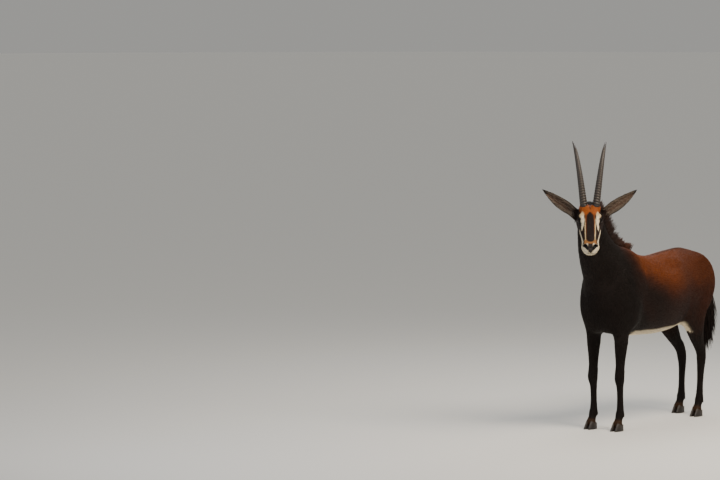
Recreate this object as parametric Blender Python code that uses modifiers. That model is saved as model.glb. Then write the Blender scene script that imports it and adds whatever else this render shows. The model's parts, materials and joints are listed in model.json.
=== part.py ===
"""Sable antelope standing still with its head turned to its left, life size.

Metres, +Z up. The animal faces -Y and its left side is +X. The hooves stand on Z = 0.
The flesh is lofted round bent centre lines, joined, remeshed, drawn on to one blended
surface and parted by thin cuts. Every surface here is the outer surface of the coat.
"""
import math

import bmesh
import bpy
import numpy as np
from mathutils import Euler, Matrix, Vector

# ---------------------------------------------------------------- sizes, in metres
WITHERS_Z = 1.235            # top of the back over the shoulders
BACK_Z = 1.175               # lowest point of the back
CROUP_Z = 1.214              # top of the rump
BELLY_Z = 0.625              # lowest point of the belly
CHEST_HALF = 0.170           # half width over the shoulders
BELLY_HALF = 0.232           # half width of the belly at its widest
TRUNK_MIDDLE = 0.47          # height of the widest line, as a share of the trunk's depth

HEAD_AT = (0.036, -0.708, 1.555)   # where the skull meets the neck
HEAD_YAW = 35.0              # the head looks this far to the animal's left, in degrees
HEAD_PITCH = 40.0            # and the muzzle points this far down, in degrees
HEAD_LENGTH = 0.415

EYE_AT = (0.140, 0.0645, 0.016)    # along the head, out to the side, up from the head's line
EYE_RADIUS = 0.0205
HORN_AT = (0.042, 0.041, 0.055)
HORN_LENGTH = 0.590          # along the curve, with the root in the skull
HORN_RADIUS = 0.0262
HORN_LEAN = (2.0, 76.0)      # backward lean at the root and at the tip, in degrees
HORN_SPREAD = 7.2            # outward lean, in degrees
RING_COUNT = 12
RING_DEPTH = 0.0022
EAR_AT = (0.034, 0.056, -0.020)
EAR_LENGTH = 0.312
EAR_HALF = 0.041
EAR_RISE = 31.5              # how far the ears rise from level, in degrees

HOOF_LENGTH = 0.104
HOOF_HALF = 0.0190
HOOF_TOP_LENGTH = 0.066      # round the coronet
HOOF_TOP_HALF = 0.0165
HOOF_HEIGHT = 0.050
HOOF_TILT = 12.0             # slope of the hoof's upper edge, down to the heel, in degrees

# Where the flesh is parted: a point on each cut and the way that it faces.
HEAD_CUT = ((0.0, 0.0, -0.077), (0.42, 0.0, 0.90))         # in the head's axes
NECK_CUT = ((0.0, -0.480, 1.020), (0.0, -0.72, 0.69))
# Each left leg's cut, its inner and outer reach along X, and its reach along Y.
LEG_CUT = {
    "front": ((0.085, -0.440, 0.672), (-0.50, 0.0, 1.0), (0.015, 0.40), (-0.64, -0.30)),
    "hind": ((0.085, 0.470, 0.725), (-0.50, 0.12, 1.0), (0.015, 0.40), (0.29, 0.84)),
}
CUT_REACH = 3.0              # far enough to clear the whole animal
FOOT_REACH = 0.2             # the same for one foot

GAP = 0.0004                 # clear space between neighbouring solids
ROOM = 0.0010                # clear space round a root in its socket
VOXEL = 0.013                # grain of the joined flesh before it is drawn smooth
FLESH_TRIANGLES = 4400       # aim for the whole flesh

# ---------------------------------------------------------------- short tables
# Trunk from chest to rump: y, top, bottom, half width, squareness above and below.
TRUNK = [
    (-0.560, 1.040, 0.810, 0.060, 1.9, 2.0),
    (-0.510, 1.125, 0.735, 0.108, 1.9, 2.1),
    (-0.420, 1.205, 0.680, 0.148, 1.8, 2.1),
    (-0.310, WITHERS_Z, 0.650, CHEST_HALF, 1.7, 2.2),
    (-0.190, 1.215, 0.634, 0.192, 1.8, 2.2),
    (-0.060, 1.187, 0.628, 0.218, 1.9, 2.2),
    (0.085, BACK_Z, BELLY_Z, BELLY_HALF, 2.0, 2.2),
    (0.240, 1.187, 0.640, 0.226, 2.0, 2.2),
    (0.380, 1.208, 0.686, 0.208, 1.8, 2.2),
    (0.490, CROUP_Z, 0.745, 0.192, 1.7, 2.1),
    (0.590, 1.186, 0.800, 0.174, 1.7, 2.0),
    (0.655, 1.150, 0.845, 0.145, 1.7, 2.0),
    (0.696, 1.100, 0.905, 0.098, 1.7, 2.0),
    (0.712, 1.050, 0.955, 0.046, 1.7, 2.0),
]
# Neck from the shoulders to the skull: place, half width, toward the throat, toward the nape.
NECK = [
    (0.000, -0.290, 0.990, 0.155, 0.225, 0.205),
    (0.000, -0.410, 1.070, 0.160, 0.208, 0.211),
    (0.000, -0.510, 1.165, 0.134, 0.185, 0.187),
    (0.004, -0.590, 1.270, 0.114, 0.160, 0.160),
    (0.014, -0.648, 1.375, 0.099, 0.135, 0.138),
    (0.028, -0.692, 1.465, 0.085, 0.108, 0.116),
    (0.040, -0.722, 1.525, 0.070, 0.070, 0.090),
]
# Head, from the skull to the nose: along, line, half width, up, down, squareness up and down.
HEAD = [
    (-0.015, -0.020, 0.050, 0.036, 0.046, 2.0, 2.0),
    (0.030, -0.015, 0.068, 0.062, 0.073, 2.1, 2.0),
    (0.070, -0.008, 0.072, 0.078, 0.097, 2.2, 2.1),
    (0.110, -0.008, 0.073, 0.080, 0.101, 2.3, 2.2),
    (0.150, -0.006, 0.072, 0.074, 0.096, 2.4, 2.3),
    (0.200, -0.004, 0.070, 0.063, 0.086, 2.5, 2.3),
    (0.255, -0.003, 0.067, 0.054, 0.076, 2.5, 2.3),
    (0.308, -0.003, 0.061, 0.047, 0.068, 2.4, 2.3),
    (0.350, -0.004, 0.054, 0.043, 0.062, 2.3, 2.3),
    (0.380, -0.007, 0.049, 0.039, 0.054, 2.2, 2.2),
    (HEAD_LENGTH - 0.018, -0.010, 0.038, 0.028, 0.039, 2.1, 2.1),
]
# Legs of the left side, from the body down: place, half width, toward the front, toward the back.
FRONT_LEG = [
    (0.088, -0.330, 1.090, 0.046, 0.080, 0.080),
    (0.110, -0.395, 0.980, 0.058, 0.105, 0.118),
    (0.116, -0.435, 0.860, 0.058, 0.095, 0.120),
    (0.114, -0.438, 0.750, 0.052, 0.076, 0.104),
    (0.112, -0.434, 0.655, 0.045, 0.060, 0.076),
    (0.110, -0.436, 0.560, 0.037, 0.047, 0.053),
    (0.108, -0.440, 0.460, 0.030, 0.036, 0.038),
    (0.107, -0.444, 0.398, 0.033, 0.036, 0.033),
    (0.107, -0.446, 0.350, 0.033, 0.037, 0.034),
    (0.106, -0.441, 0.300, 0.024, 0.026, 0.029),
    (0.106, -0.438, 0.220, 0.022, 0.023, 0.027),
    (0.106, -0.438, 0.148, 0.025, 0.025, 0.031),
    (0.106, -0.441, 0.114, 0.031, 0.028, 0.035),
    (0.106, -0.456, 0.078, 0.027, 0.025, 0.027),
    (0.106, -0.468, 0.048, 0.036, 0.033, 0.036),
]
HIND_LEG = [
    (0.085, 0.460, 1.045, 0.062, 0.125, 0.155),
    (0.116, 0.492, 0.955, 0.077, 0.160, 0.182),
    (0.130, 0.486, 0.860, 0.078, 0.158, 0.176),
    (0.134, 0.475, 0.760, 0.069, 0.135, 0.138),
    (0.128, 0.492, 0.665, 0.055, 0.102, 0.098),
    (0.120, 0.525, 0.580, 0.042, 0.068, 0.068),
    (0.114, 0.564, 0.508, 0.032, 0.045, 0.047),
    (0.110, 0.596, 0.452, 0.031, 0.036, 0.047),
    (0.108, 0.606, 0.400, 0.031, 0.034, 0.039),
    (0.107, 0.604, 0.340, 0.026, 0.030, 0.031),
    (0.106, 0.598, 0.240, 0.022, 0.026, 0.027),
    (0.105, 0.592, 0.158, 0.025, 0.026, 0.031),
    (0.105, 0.588, 0.120, 0.031, 0.029, 0.035),
    (0.105, 0.573, 0.082, 0.027, 0.026, 0.027),
    (0.105, 0.559, 0.050, 0.036, 0.033, 0.036),
]
# How far each leg's foot stands from the table's place, forward being negative.
STEP = {"front_left": 0.012, "front_right": 0.0, "hind_left": 0.0, "hind_right": 0.090}
# Tail with its brush: place, half width, forward, backward.
TAIL = [
    (0.000, 0.640, 1.092, 0.034, 0.034, 0.030),
    (0.002, 0.716, 1.080, 0.030, 0.028, 0.026),
    (0.012, 0.774, 1.042, 0.022, 0.021, 0.020),
    (0.030, 0.810, 0.965, 0.018, 0.018, 0.018),
    (0.040, 0.814, 0.880, 0.016, 0.017, 0.017),
    (0.038, 0.800, 0.780, 0.019, 0.020, 0.020),
    (0.030, 0.780, 0.680, 0.030, 0.032, 0.032),
    (0.022, 0.764, 0.580, 0.037, 0.040, 0.040),
    (0.018, 0.754, 0.500, 0.030, 0.032, 0.032),
    (0.016, 0.750, 0.440, 0.010, 0.010, 0.010),
]
# Upright mane along the nape: place, half width, depth below its line and height above it.
MANE = [
    (0.044, -0.640, 1.558, 0.014, 0.026, 0.060),
    (0.034, -0.590, 1.515, 0.017, 0.038, 0.070),
    (0.024, -0.530, 1.448, 0.019, 0.046, 0.080),
    (0.014, -0.460, 1.365, 0.020, 0.050, 0.080),
    (0.006, -0.390, 1.292, 0.020, 0.052, 0.070),
    (0.002, -0.310, 1.243, 0.020, 0.054, 0.060),
    (0.000, -0.240, 1.222, 0.019, 0.060, 0.054),
    (0.000, -0.195, 1.209, 0.018, 0.060, 0.064),
    (0.000, -0.165, 1.202, 0.016, 0.056, 0.064),
]
# Muscles and bones that show: place, half sizes, turn in degrees, how softly they blend in.
MASSES = [
    ((0.088, -0.482, 0.925), (0.058, 0.078, 0.120), (-20, 0, 0), 0.09),   # point of the shoulder
    ((0.134, -0.365, 0.830), (0.044, 0.105, 0.110), (25, 0, 0), 0.08),    # upper arm
    ((0.046, -0.500, 0.800), (0.062, 0.075, 0.110), (0, 0, 0), 0.09),     # breast
    ((0.094, 0.602, 0.975), (0.076, 0.124, 0.158), (10, 0, 0), 0.10),     # buttock
    ((0.136, 0.385, 0.780), (0.048, 0.080, 0.110), (20, 0, 0), 0.08),     # stifle
    ((0.075, -0.300, 1.130), (0.050, 0.110, 0.080), (0, 0, 0), 0.09),     # shoulder blade
]
HEAD_MASSES = [
    ((0.136, 0.052, 0.024), (0.038, 0.027, 0.032), (0, 0, 0), 0.03),      # brow and eye socket
    ((0.092, 0.051, -0.045), (0.066, 0.025, 0.052), (0, 10, 0), 0.04),    # cheek
    ((0.048, 0.041, 0.052), (0.032, 0.027, 0.022), (0, 0, 0), 0.03),      # horn base
    ((0.366, 0.030, -0.006), (0.034, 0.024, 0.030), (0, 0, 0), 0.025),    # side of the nose
    ((0.360, 0.015, -0.048), (0.036, 0.028, 0.021), (0, 0, 0), 0.025),    # chin
]
# Dewclaws: out from the leg's line, behind it, height; and their half sizes.
DEWCLAW_AT = (0.017, 0.031, 0.106)
DEWCLAW_HALF = (0.010, 0.012, 0.017)

# Colour (linear), roughness
FLESH_LOOK = {
    "head": ((0.030, 0.014, 0.008), 0.75),
    "neck": ((0.010, 0.006, 0.005), 0.70),
    "trunk": ((0.120, 0.038, 0.013), 0.65),
    "leg_front_left": ((0.010, 0.006, 0.005), 0.70),
    "leg_front_right": ((0.010, 0.006, 0.005), 0.70),
    "leg_hind_left": ((0.022, 0.010, 0.006), 0.70),
    "leg_hind_right": ((0.022, 0.010, 0.006), 0.70),
}
HAIR_LOOK = ((0.008, 0.005, 0.004), 0.75)
EAR_LOOK = ((0.060, 0.026, 0.014), 0.80)
EYE_LOOK = ((0.006, 0.004, 0.003), 0.08)
HORN_LOOK = ((0.020, 0.017, 0.015), 0.45)
HOOF_LOOK = ((0.016, 0.013, 0.011), 0.50)


# ---------------------------------------------------------------- frames
def head_frame():
    """Axes along the muzzle, to the animal's left and out of the forehead, set at the skull."""
    yaw = math.radians(HEAD_YAW)
    pitch = math.radians(HEAD_PITCH)
    level = np.array((math.sin(yaw), -math.cos(yaw), 0.0))
    frame = np.eye(4)
    frame[:3, 0] = level * math.cos(pitch) - np.array((0, 0, math.sin(pitch)))
    frame[:3, 1] = (math.cos(yaw), math.sin(yaw), 0.0)
    frame[:3, 2] = level * math.sin(pitch) + np.array((0, 0, math.cos(pitch)))
    frame[:3, 3] = HEAD_AT
    return frame


def placed(point, frame):
    """A point of the frame, in the animal's own axes."""
    return frame[:3, :3] @ np.asarray(point, float) + frame[:3, 3]


def unit(vector):
    """The vector at length one."""
    return vector / np.linalg.norm(vector, axis=-1, keepdims=True)


def along_curve(rows, count):
    """Rows taken evenly along a smooth curve through the given rows."""
    rows = np.asarray(rows, float)
    ends = np.vstack([2 * rows[0] - rows[1], rows, 2 * rows[-1] - rows[-2]])
    t = np.linspace(0, 1, 16, endpoint=False)[:, None]
    pieces = []
    for a, b, c, d in zip(ends, ends[1:], ends[2:], ends[3:]):
        pieces.append(b + 0.5 * (c - a) * t + (a - 2.5 * b + 2 * c - 0.5 * d) * t**2
                      + (1.5 * b - 0.5 * a - 1.5 * c + 0.5 * d) * t**3)
    dense = np.vstack([*pieces, rows[-1:]])
    run = np.concatenate([[0], np.cumsum(np.linalg.norm(np.diff(dense[:, :3], axis=0), axis=1))])
    at = np.linspace(0, run[-1], count)
    return np.stack([np.interp(at, run, column) for column in dense.T], axis=1)


# ---------------------------------------------------------------- flesh
class Tube:
    """Flesh round a bent line, with a different roundness above and below its widest line."""

    def __init__(self, rows, side, blend, count=44, frame=None):
        rows = np.asarray(rows, float)
        if rows.shape[1] == 6:
            rows = np.hstack([rows, np.full((len(rows), 2), 2.0)])
        side = np.broadcast_to(np.asarray(side, float), (len(rows), 3))
        rows = along_curve(np.hstack([rows, side]), count)
        self.centre = rows[:, :3]
        side = rows[:, 8:]
        if frame is not None:
            self.centre = self.centre @ frame[:3, :3].T + frame[:3, 3]
            side = side @ frame[:3, :3].T
        self.ahead = unit(np.gradient(self.centre, axis=0))
        self.side = unit(side - (side * self.ahead).sum(1, keepdims=True) * self.ahead)
        self.up = np.cross(self.ahead, self.side)
        self.size = rows[:, 3:6]
        self.power = rows[:, 6:8]
        self.blend = blend
        self.pitch = np.linalg.norm(np.diff(self.centre, axis=0), axis=1).mean()
        reach = self.size.max() + blend
        self.low = self.centre.min(0) - reach
        self.high = self.centre.max(0) + reach

    def distance(self, points):
        """Signed distance to the flesh, near enough true close to it."""
        last = len(self.centre) - 1
        near = ((self.centre**2).sum(1) - 2 * points @ self.centre.T).argmin(1)
        slide = ((points - self.centre[near]) * self.ahead[near]).sum(1) / self.pitch
        at = np.clip(near + np.clip(slide, -1, 1), 0, last)
        low = np.minimum(at.astype(int), last - 1)
        share = (at - low)[:, None]

        def mixed(rows):
            return rows[low] * (1 - share) + rows[low + 1] * share

        offset = points - mixed(self.centre)
        size = mixed(self.size)
        power = mixed(self.power)
        x = (offset * mixed(self.side)).sum(1)
        y = (offset * mixed(self.up)).sum(1)
        half = np.where(y > 0, size[:, 1], size[:, 2])
        n = np.where(y > 0, power[:, 0], power[:, 1])
        across = np.abs(x) / size[:, 0] + 1e-9
        upward = np.abs(y) / half + 1e-9
        least = size.min(1)
        beyond = np.where((at <= 0) | (at >= last), (offset * mixed(self.ahead)).sum(1), 0) / least
        ring = (across**n + upward**n) ** (1 / n)
        slope = ring ** (1 - n) * np.hypot(across ** (n - 1) / size[:, 0], upward ** (n - 1) / half)
        full = np.hypot(ring, beyond)
        slope = np.hypot(ring * slope, beyond / least) / full
        return (full - 1) / np.maximum(slope, 1e-6)

    def loft(self, bm, turns=24):
        """The tube as a closed loft with rounded ends."""
        last = len(self.centre) - 1
        ends = [math.radians(v) for v in (78, 55, 30)]
        places = [(0, v) for v in ends] + [(k, 0) for k in range(last + 1)]
        places += [(last, v) for v in reversed(ends)]
        turn = np.linspace(0, 2 * math.pi, turns, endpoint=False)
        wide = np.cos(turn)
        high = np.sin(turn)
        rings = []
        for k, v in places:
            half = np.where(high > 0, self.size[k, 1], self.size[k, 2])
            n = np.where(high > 0, self.power[k, 0], self.power[k, 1])
            reach = (np.abs(wide) ** n + np.abs(high) ** n) ** (-1 / n) * math.cos(v)
            past = self.size[k].min() * math.sin(v) * (-1 if k == 0 else 1)
            ring = (self.centre[k] + past * self.ahead[k]
                    + (self.size[k, 0] * reach * wide)[:, None] * self.side[k]
                    + (half * reach * high)[:, None] * self.up[k])
            rings.append(ring)
        add_loft(bm, rings)


class Mass:
    """A muscle or a bone under the skin: an ellipsoid."""

    def __init__(self, at, half, turn, blend, frame=None):
        self.turn = np.array(Euler([math.radians(v) for v in turn]).to_matrix())
        self.at = np.asarray(at, float)
        if frame is not None:
            self.turn = frame[:3, :3] @ self.turn
            self.at = placed(at, frame)
        self.half = np.asarray(half, float)
        self.blend = blend
        reach = self.half.max() + blend
        self.low = self.at - reach
        self.high = self.at + reach

    def distance(self, points):
        """Signed distance to the flesh, near enough true close to it."""
        offset = (points - self.at) @ self.turn
        ring = np.sqrt(((offset / self.half) ** 2).sum(1)) + 1e-9
        slope = np.sqrt(((offset / self.half**2) ** 2).sum(1)) / ring
        return (ring - 1) / np.maximum(slope, 1e-6)

    def loft(self, bm):
        """The mass as a closed ball."""
        turn = Matrix(self.turn.tolist()).to_quaternion()
        place = Matrix.LocRotScale(Vector(self.at), turn, Vector(self.half))
        bmesh.ops.create_uvsphere(bm, u_segments=18, v_segments=12, radius=1, matrix=place)


def flesh_distance(points, shapes):
    """Signed distance to all the shapes together, softened where they meet."""
    reach = 0.03
    total = np.full(len(points), 1.0)
    for shape in shapes:
        near = ((points > shape.low - reach) & (points < shape.high + reach)).all(1)
        if near.any():
            own = shape.distance(points[near])
            was = total[near]
            soft = np.maximum(shape.blend - np.abs(was - own), 0) / shape.blend
            total[near] = np.minimum(was, own) - soft**2 * shape.blend / 4
    return total


def drawn_on(points, shapes, rounds=4, step=0.0015, most=0.02):
    """The points moved on to the blended surface of the shapes."""
    points = points.copy()
    for _ in range(rounds):
        here = flesh_distance(points, shapes)
        slope = [flesh_distance(points + axis, shapes) - here for axis in np.eye(3) * step]
        slope = np.stack(slope, axis=1) / step
        move = here[:, None] * slope / np.maximum((slope**2).sum(1, keepdims=True), 0.25)
        size = np.linalg.norm(move, axis=1, keepdims=True)
        points -= move * np.minimum(1, most / np.maximum(size, 1e-9))
    return points


def trunk_tube():
    """Chest, barrel and rump."""
    rows = []
    for y, top, bottom, half, above, below in TRUNK:
        middle = bottom + TRUNK_MIDDLE * (top - bottom)
        rows.append((0, y, middle, half, top - middle, middle - bottom, above, below))
    return Tube(rows, (-1, 0, 0), blend=0.06, count=56)


def neck_tube():
    """Neck, turning toward the head's side as it rises."""
    turn = np.linspace(0, 1, len(NECK)) ** 1.5 * math.radians(HEAD_YAW)
    side = np.stack([-np.cos(turn), -np.sin(turn), 0 * turn], axis=1)
    return Tube(NECK, side, blend=0.10)


def head_tube(frame):
    """Skull and muzzle."""
    rows = [(along, 0, line, half, up, down, above, below)
            for along, line, half, up, down, above, below in HEAD]
    return Tube(rows, (0, 1, 0), blend=0.045, frame=frame)


def mane_tube():
    """Ridge of upright hair on the nape."""
    turn = np.linspace(1, 0, len(MANE)) ** 1.5 * math.radians(HEAD_YAW)
    side = np.stack([np.cos(turn), np.sin(turn), 0 * turn], axis=1)
    return Tube(MANE, side, blend=0.02)


def leg_rows(name):
    """Stations of one leg, with its foot set forward or back."""
    rows = np.array(FRONT_LEG if "front" in name else HIND_LEG)
    low = np.clip((0.95 - rows[:, 2]) / 0.60, 0, 1)
    rows[:, 1] += STEP[name] * low
    if "right" in name:
        rows[:, 0] *= -1
    return rows


def leg_tube(name):
    """One leg from the body to the hoof."""
    return Tube(leg_rows(name), (1, 0, 0), blend=0.06, count=56)


def body_shapes(frame):
    """Everything that makes the one piece of flesh."""
    shapes = [trunk_tube(), neck_tube(), head_tube(frame)]
    for name in STEP:
        shapes.append(leg_tube(name))
        x, y, _ = leg_rows(name)[-3, :3]
        for out in (1, -1):
            at = (x + DEWCLAW_AT[0] * out, y + DEWCLAW_AT[1], DEWCLAW_AT[2])
            shapes.append(Mass(at, DEWCLAW_HALF, (25, 0, 0), 0.012))
    for sign in (1, -1):
        for at, half, turn, blend in MASSES:
            mirrored = (turn[0], turn[1] * sign, turn[2] * sign)
            shapes.append(Mass((at[0] * sign, at[1], at[2]), half, mirrored, blend))
        for at, half, turn, blend in HEAD_MASSES:
            mirrored = (turn[0] * sign, turn[1], turn[2] * sign)
            shapes.append(Mass((at[0], at[1] * sign, at[2]), half, mirrored, blend, frame))
    shapes.append(mane_tube())
    return shapes


# ---------------------------------------------------------------- meshes
def add_loft(bm, rings):
    """A closed skin through rings of equal count, with flat ends."""
    rows = [[bm.verts.new(point) for point in ring] for ring in rings]
    count = len(rows[0])
    for near, far in zip(rows, rows[1:]):
        for i in range(count):
            j = (i + 1) % count
            bm.faces.new((near[i], near[j], far[j], far[i]))
    bm.faces.new(list(reversed(rows[0])))
    bm.faces.new(rows[-1])


def mesh_object(name, bm, collection):
    """The mesh as an object in the collection, with its faces outward."""
    bmesh.ops.recalc_face_normals(bm, faces=bm.faces)
    mesh = bpy.data.meshes.new(name)
    bm.to_mesh(mesh)
    bm.free()
    thing = bpy.data.objects.new(name, mesh)
    collection.objects.link(thing)
    return thing


def loft_object(name, rings, collection):
    """A closed loft as an object."""
    bm = bmesh.new()
    add_loft(bm, rings)
    return mesh_object(name, bm, collection)


def block(name, corner_low, corner_high, place, collection):
    """A box between two corners, set in the place's axes."""
    bm = bmesh.new()
    low = Vector(corner_low)
    high = Vector(corner_high)
    size = Matrix.LocRotScale((low + high) / 2, None, high - low)
    bmesh.ops.create_cube(bm, size=1.0, matrix=place @ size)
    return mesh_object(name, bm, collection)


def add_boolean(thing, cutter, operation):
    """Cut or keep with another solid."""
    modifier = thing.modifiers.new(cutter.name, "BOOLEAN")
    modifier.operation = operation
    modifier.solver = "EXACT"
    modifier.object = cutter


def add_room(thing, host, collection):
    """A socket in the host, wider than the thing by a gap on every side."""
    bm = bmesh.new()
    bm.from_mesh(thing.data)
    bmesh.ops.recalc_face_normals(bm, faces=bm.faces)
    moves = [vertex.normal * ROOM for vertex in bm.verts]
    for vertex, move in zip(bm.verts, moves):
        vertex.co += move
    add_boolean(host, mesh_object(thing.name + "_room", bm, collection), "DIFFERENCE")


def paint(thing, look):
    """The object's own material."""
    colour, roughness = look
    material = bpy.data.materials.new(thing.name + "_coat")
    material.use_nodes = True
    shader = material.node_tree.nodes["Principled BSDF"]
    shader.inputs["Base Color"].default_value = (*colour, 1)
    shader.inputs["Roughness"].default_value = roughness
    shader.inputs["Metallic"].default_value = 0.0
    thing.data.materials.clear()
    thing.data.materials.append(material)


# ---------------------------------------------------------------- flesh in one piece
def whole_flesh(shapes, collection):
    """The joined lofts, remeshed, drawn on to the blended surface and thinned out."""
    bm = bmesh.new()
    for shape in shapes:
        shape.loft(bm)
    whole = mesh_object("whole", bm, collection)
    grain = whole.modifiers.new("grain", "REMESH")
    grain.mode = "VOXEL"
    grain.voxel_size = VOXEL
    for _ in range(2):
        ease = whole.modifiers.new("ease", "SMOOTH")
        ease.factor = 0.5
        ease.iterations = 5
        make_final(whole)
        draw_on(whole, shapes)
    thin = whole.modifiers.new("thin", "DECIMATE")
    thin.use_collapse_triangulate = True
    thin.ratio = FLESH_TRIANGLES / (2 * len(whole.data.polygons))
    make_final(whole)
    return whole


def make_final(thing):
    """The object's modifiers made final."""
    graph = bpy.context.evaluated_depsgraph_get()
    mesh = bpy.data.meshes.new_from_object(thing.evaluated_get(graph))
    thing.modifiers.clear()
    old = thing.data
    thing.data = mesh
    bpy.data.meshes.remove(old)


def draw_on(thing, shapes):
    """Every point of the mesh drawn on to the blended surface."""
    mesh = thing.data
    points = np.empty(len(mesh.vertices) * 3)
    mesh.vertices.foreach_get("co", points)
    points = drawn_on(points.reshape(-1, 3), shapes)
    mesh.vertices.foreach_set("co", points.ravel())
    mesh.update()


# ---------------------------------------------------------------- horns, ears, eyes, hooves, tail
def horn_rings(side, frame):
    """Rings of one curved horn; thickened rings give it its ridges."""
    yaw = math.radians(HEAD_YAW)
    back = np.array((-math.sin(yaw), math.cos(yaw), 0.0))
    out = np.array((math.cos(yaw), math.sin(yaw), 0.0)) * side
    up = np.array((0, 0, 1.0))
    steps = RING_COUNT * 2 + 4
    place = placed((HORN_AT[0], HORN_AT[1] * side, HORN_AT[2]), frame)
    spread = math.radians(HORN_SPREAD)
    lean_low, lean_high = (math.radians(v) for v in HORN_LEAN)
    rings = []
    for i in range(steps + 1):
        t = i / steps
        lean = lean_low + (lean_high - lean_low) * t
        flat = up * math.cos(lean) + back * math.sin(lean)
        ahead = flat * math.cos(spread) + out * math.sin(spread)
        if i:
            place = place + ahead * HORN_LENGTH / steps
        radius = HORN_RADIUS * (1 - t) ** 0.62 * (1 - 0.10 * t) + 0.0022
        ridged = 0.10 < t < 0.80 and i % 2 == 0
        radius += RING_DEPTH if ridged else 0.0
        across = unit(out - (out @ ahead) * ahead)
        front = np.cross(across, ahead)
        turn = np.linspace(0, 2 * math.pi, 10, endpoint=False)[:, None]
        rings.append(place + radius * (np.cos(turn) * across * 0.92 + np.sin(turn) * front * 1.08))
    return rings


def ear_axes(side, frame):
    """Along the ear, up across it and forward out of its bowl."""
    yaw = math.radians(HEAD_YAW)
    rise = math.radians(EAR_RISE)
    out = np.array((math.cos(yaw), math.sin(yaw), 0.0)) * side
    front = np.array((math.sin(yaw), -math.cos(yaw), 0.0))
    up = np.array((0, 0, 1.0))
    along = unit(out * math.cos(rise) + up * math.sin(rise) - front * 0.10)
    bowl = unit(front - (front @ along) * along + 0.10 * up)
    across = np.cross(bowl, along) * side
    return along, across, bowl


def ear_rings(side, frame):
    """Rings of a leaf-shaped ear whose bowl opens forward."""
    along, across, bowl = ear_axes(side, frame)
    root = placed((EAR_AT[0], EAR_AT[1] * side, EAR_AT[2]), frame)
    steps = 12
    half_points = 6
    rings = []
    for i in range(steps + 1):
        t = i / steps
        wide = EAR_HALF * ear_leaf(t)
        thick = 0.005 + 0.012 * (1 - t) ** 3
        deep = 0.55 * wide * (1 - 0.35 * t)
        sag = -0.012 * math.cos(math.pi / 2 * t) - 0.006 * math.sin(math.pi * t)
        centre = root + along * (EAR_LENGTH * t) + across * sag
        arc = np.linspace(-1, 1, half_points)[:, None]
        bent = centre + across * wide * arc + bowl * deep * (arc**2 - 0.5)
        rings.append(np.vstack([bent + bowl * thick / 2, bent[::-1] - bowl * thick / 2]))
    return rings


def ear_leaf(t):
    """Breadth of the ear along its length, broadest before the middle and drawn to a point."""
    if t < 0.42:
        return 0.84 + 0.16 * math.sin(math.pi / 2 * t / 0.42)
    return max(1 - ((t - 0.42) / 0.585) ** 1.8, 0.0) * 0.96 + 0.04


def eye_object(name, side, frame, collection):
    """A ball in its socket."""
    bm = bmesh.new()
    at = placed((EYE_AT[0], EYE_AT[1] * side, EYE_AT[2]), frame)
    bmesh.ops.create_uvsphere(bm, u_segments=12, v_segments=8, radius=EYE_RADIUS,
                              matrix=Matrix.Translation(Vector(at)))
    return mesh_object(name, bm, collection)


def foot_place(name):
    """Where the middle of the foot's coronet stands."""
    return leg_rows(name)[-1, :3]


def hoof_outline(length, half, inner):
    """Outline of one claw seen from above, its inner edge straight."""
    outline = []
    for turn in np.linspace(0, 2 * math.pi, 14, endpoint=False):
        x = math.cos(turn)
        y = math.sin(turn)
        pointed = half * (1 - 0.35 * max(-y, 0) ** 2)
        reach = pointed * (0.80 if x * inner > 0 else 1.0)
        outline.append((math.copysign(abs(x) ** 0.8, x) * reach, y * length / 2))
    return outline


def hoof_rings(name, inner):
    """One claw of a foot; inner is the way to the foot's middle, along X."""
    x, y, _ = foot_place(name)
    tilt = math.tan(math.radians(HOOF_TILT))
    rings = []
    for share, length, half, back in ((0.0, HOOF_LENGTH, HOOF_HALF, -0.012),
                                      (1.0, HOOF_TOP_LENGTH, HOOF_TOP_HALF, 0.004)):
        ring = []
        for u, v in hoof_outline(length, half, inner):
            place_x = x - inner * (HOOF_HALF * 0.86 + 0.001) + u
            place_y = y + back + v
            top = HOOF_HEIGHT - tilt * (place_y - y)
            ring.append((place_x, place_y, top * share))
        rings.append(np.array(ring))
    return rings


def tail_tube():
    """The tail with its brush."""
    return Tube(TAIL, (1, 0, 0), blend=0.02, count=18)


# ---------------------------------------------------------------- parting
def look_along(point, normal):
    """A place at the point whose Z runs along the normal."""
    turn = Vector(normal).to_track_quat("Z", "Y")
    return Matrix.LocRotScale(Vector(point), turn, None)


def half_space(name, place, above, collection):
    """Everything past a plane, or everything before it."""
    corner_low = (-CUT_REACH, -CUT_REACH, GAP / 2 if above else -CUT_REACH)
    corner_high = (CUT_REACH, CUT_REACH, CUT_REACH if above else -GAP / 2)
    return block(name, corner_low, corner_high, place, collection)


def part_head_and_neck(flesh, frame, cutters):
    """The head, the neck and the trunk parted by two planes."""
    point, normal = HEAD_CUT
    nape = look_along(placed(point, frame), frame[:3, :3] @ np.array(normal))
    shoulder = look_along(*NECK_CUT)
    add_boolean(flesh["head"], half_space("head_zone", nape, True, cutters), "INTERSECT")
    add_boolean(flesh["neck"], half_space("neck_top", nape, False, cutters), "INTERSECT")
    add_boolean(flesh["neck"], half_space("neck_foot", shoulder, True, cutters), "INTERSECT")
    add_boolean(flesh["trunk"], half_space("trunk_top", shoulder, False, cutters), "INTERSECT")


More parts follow.
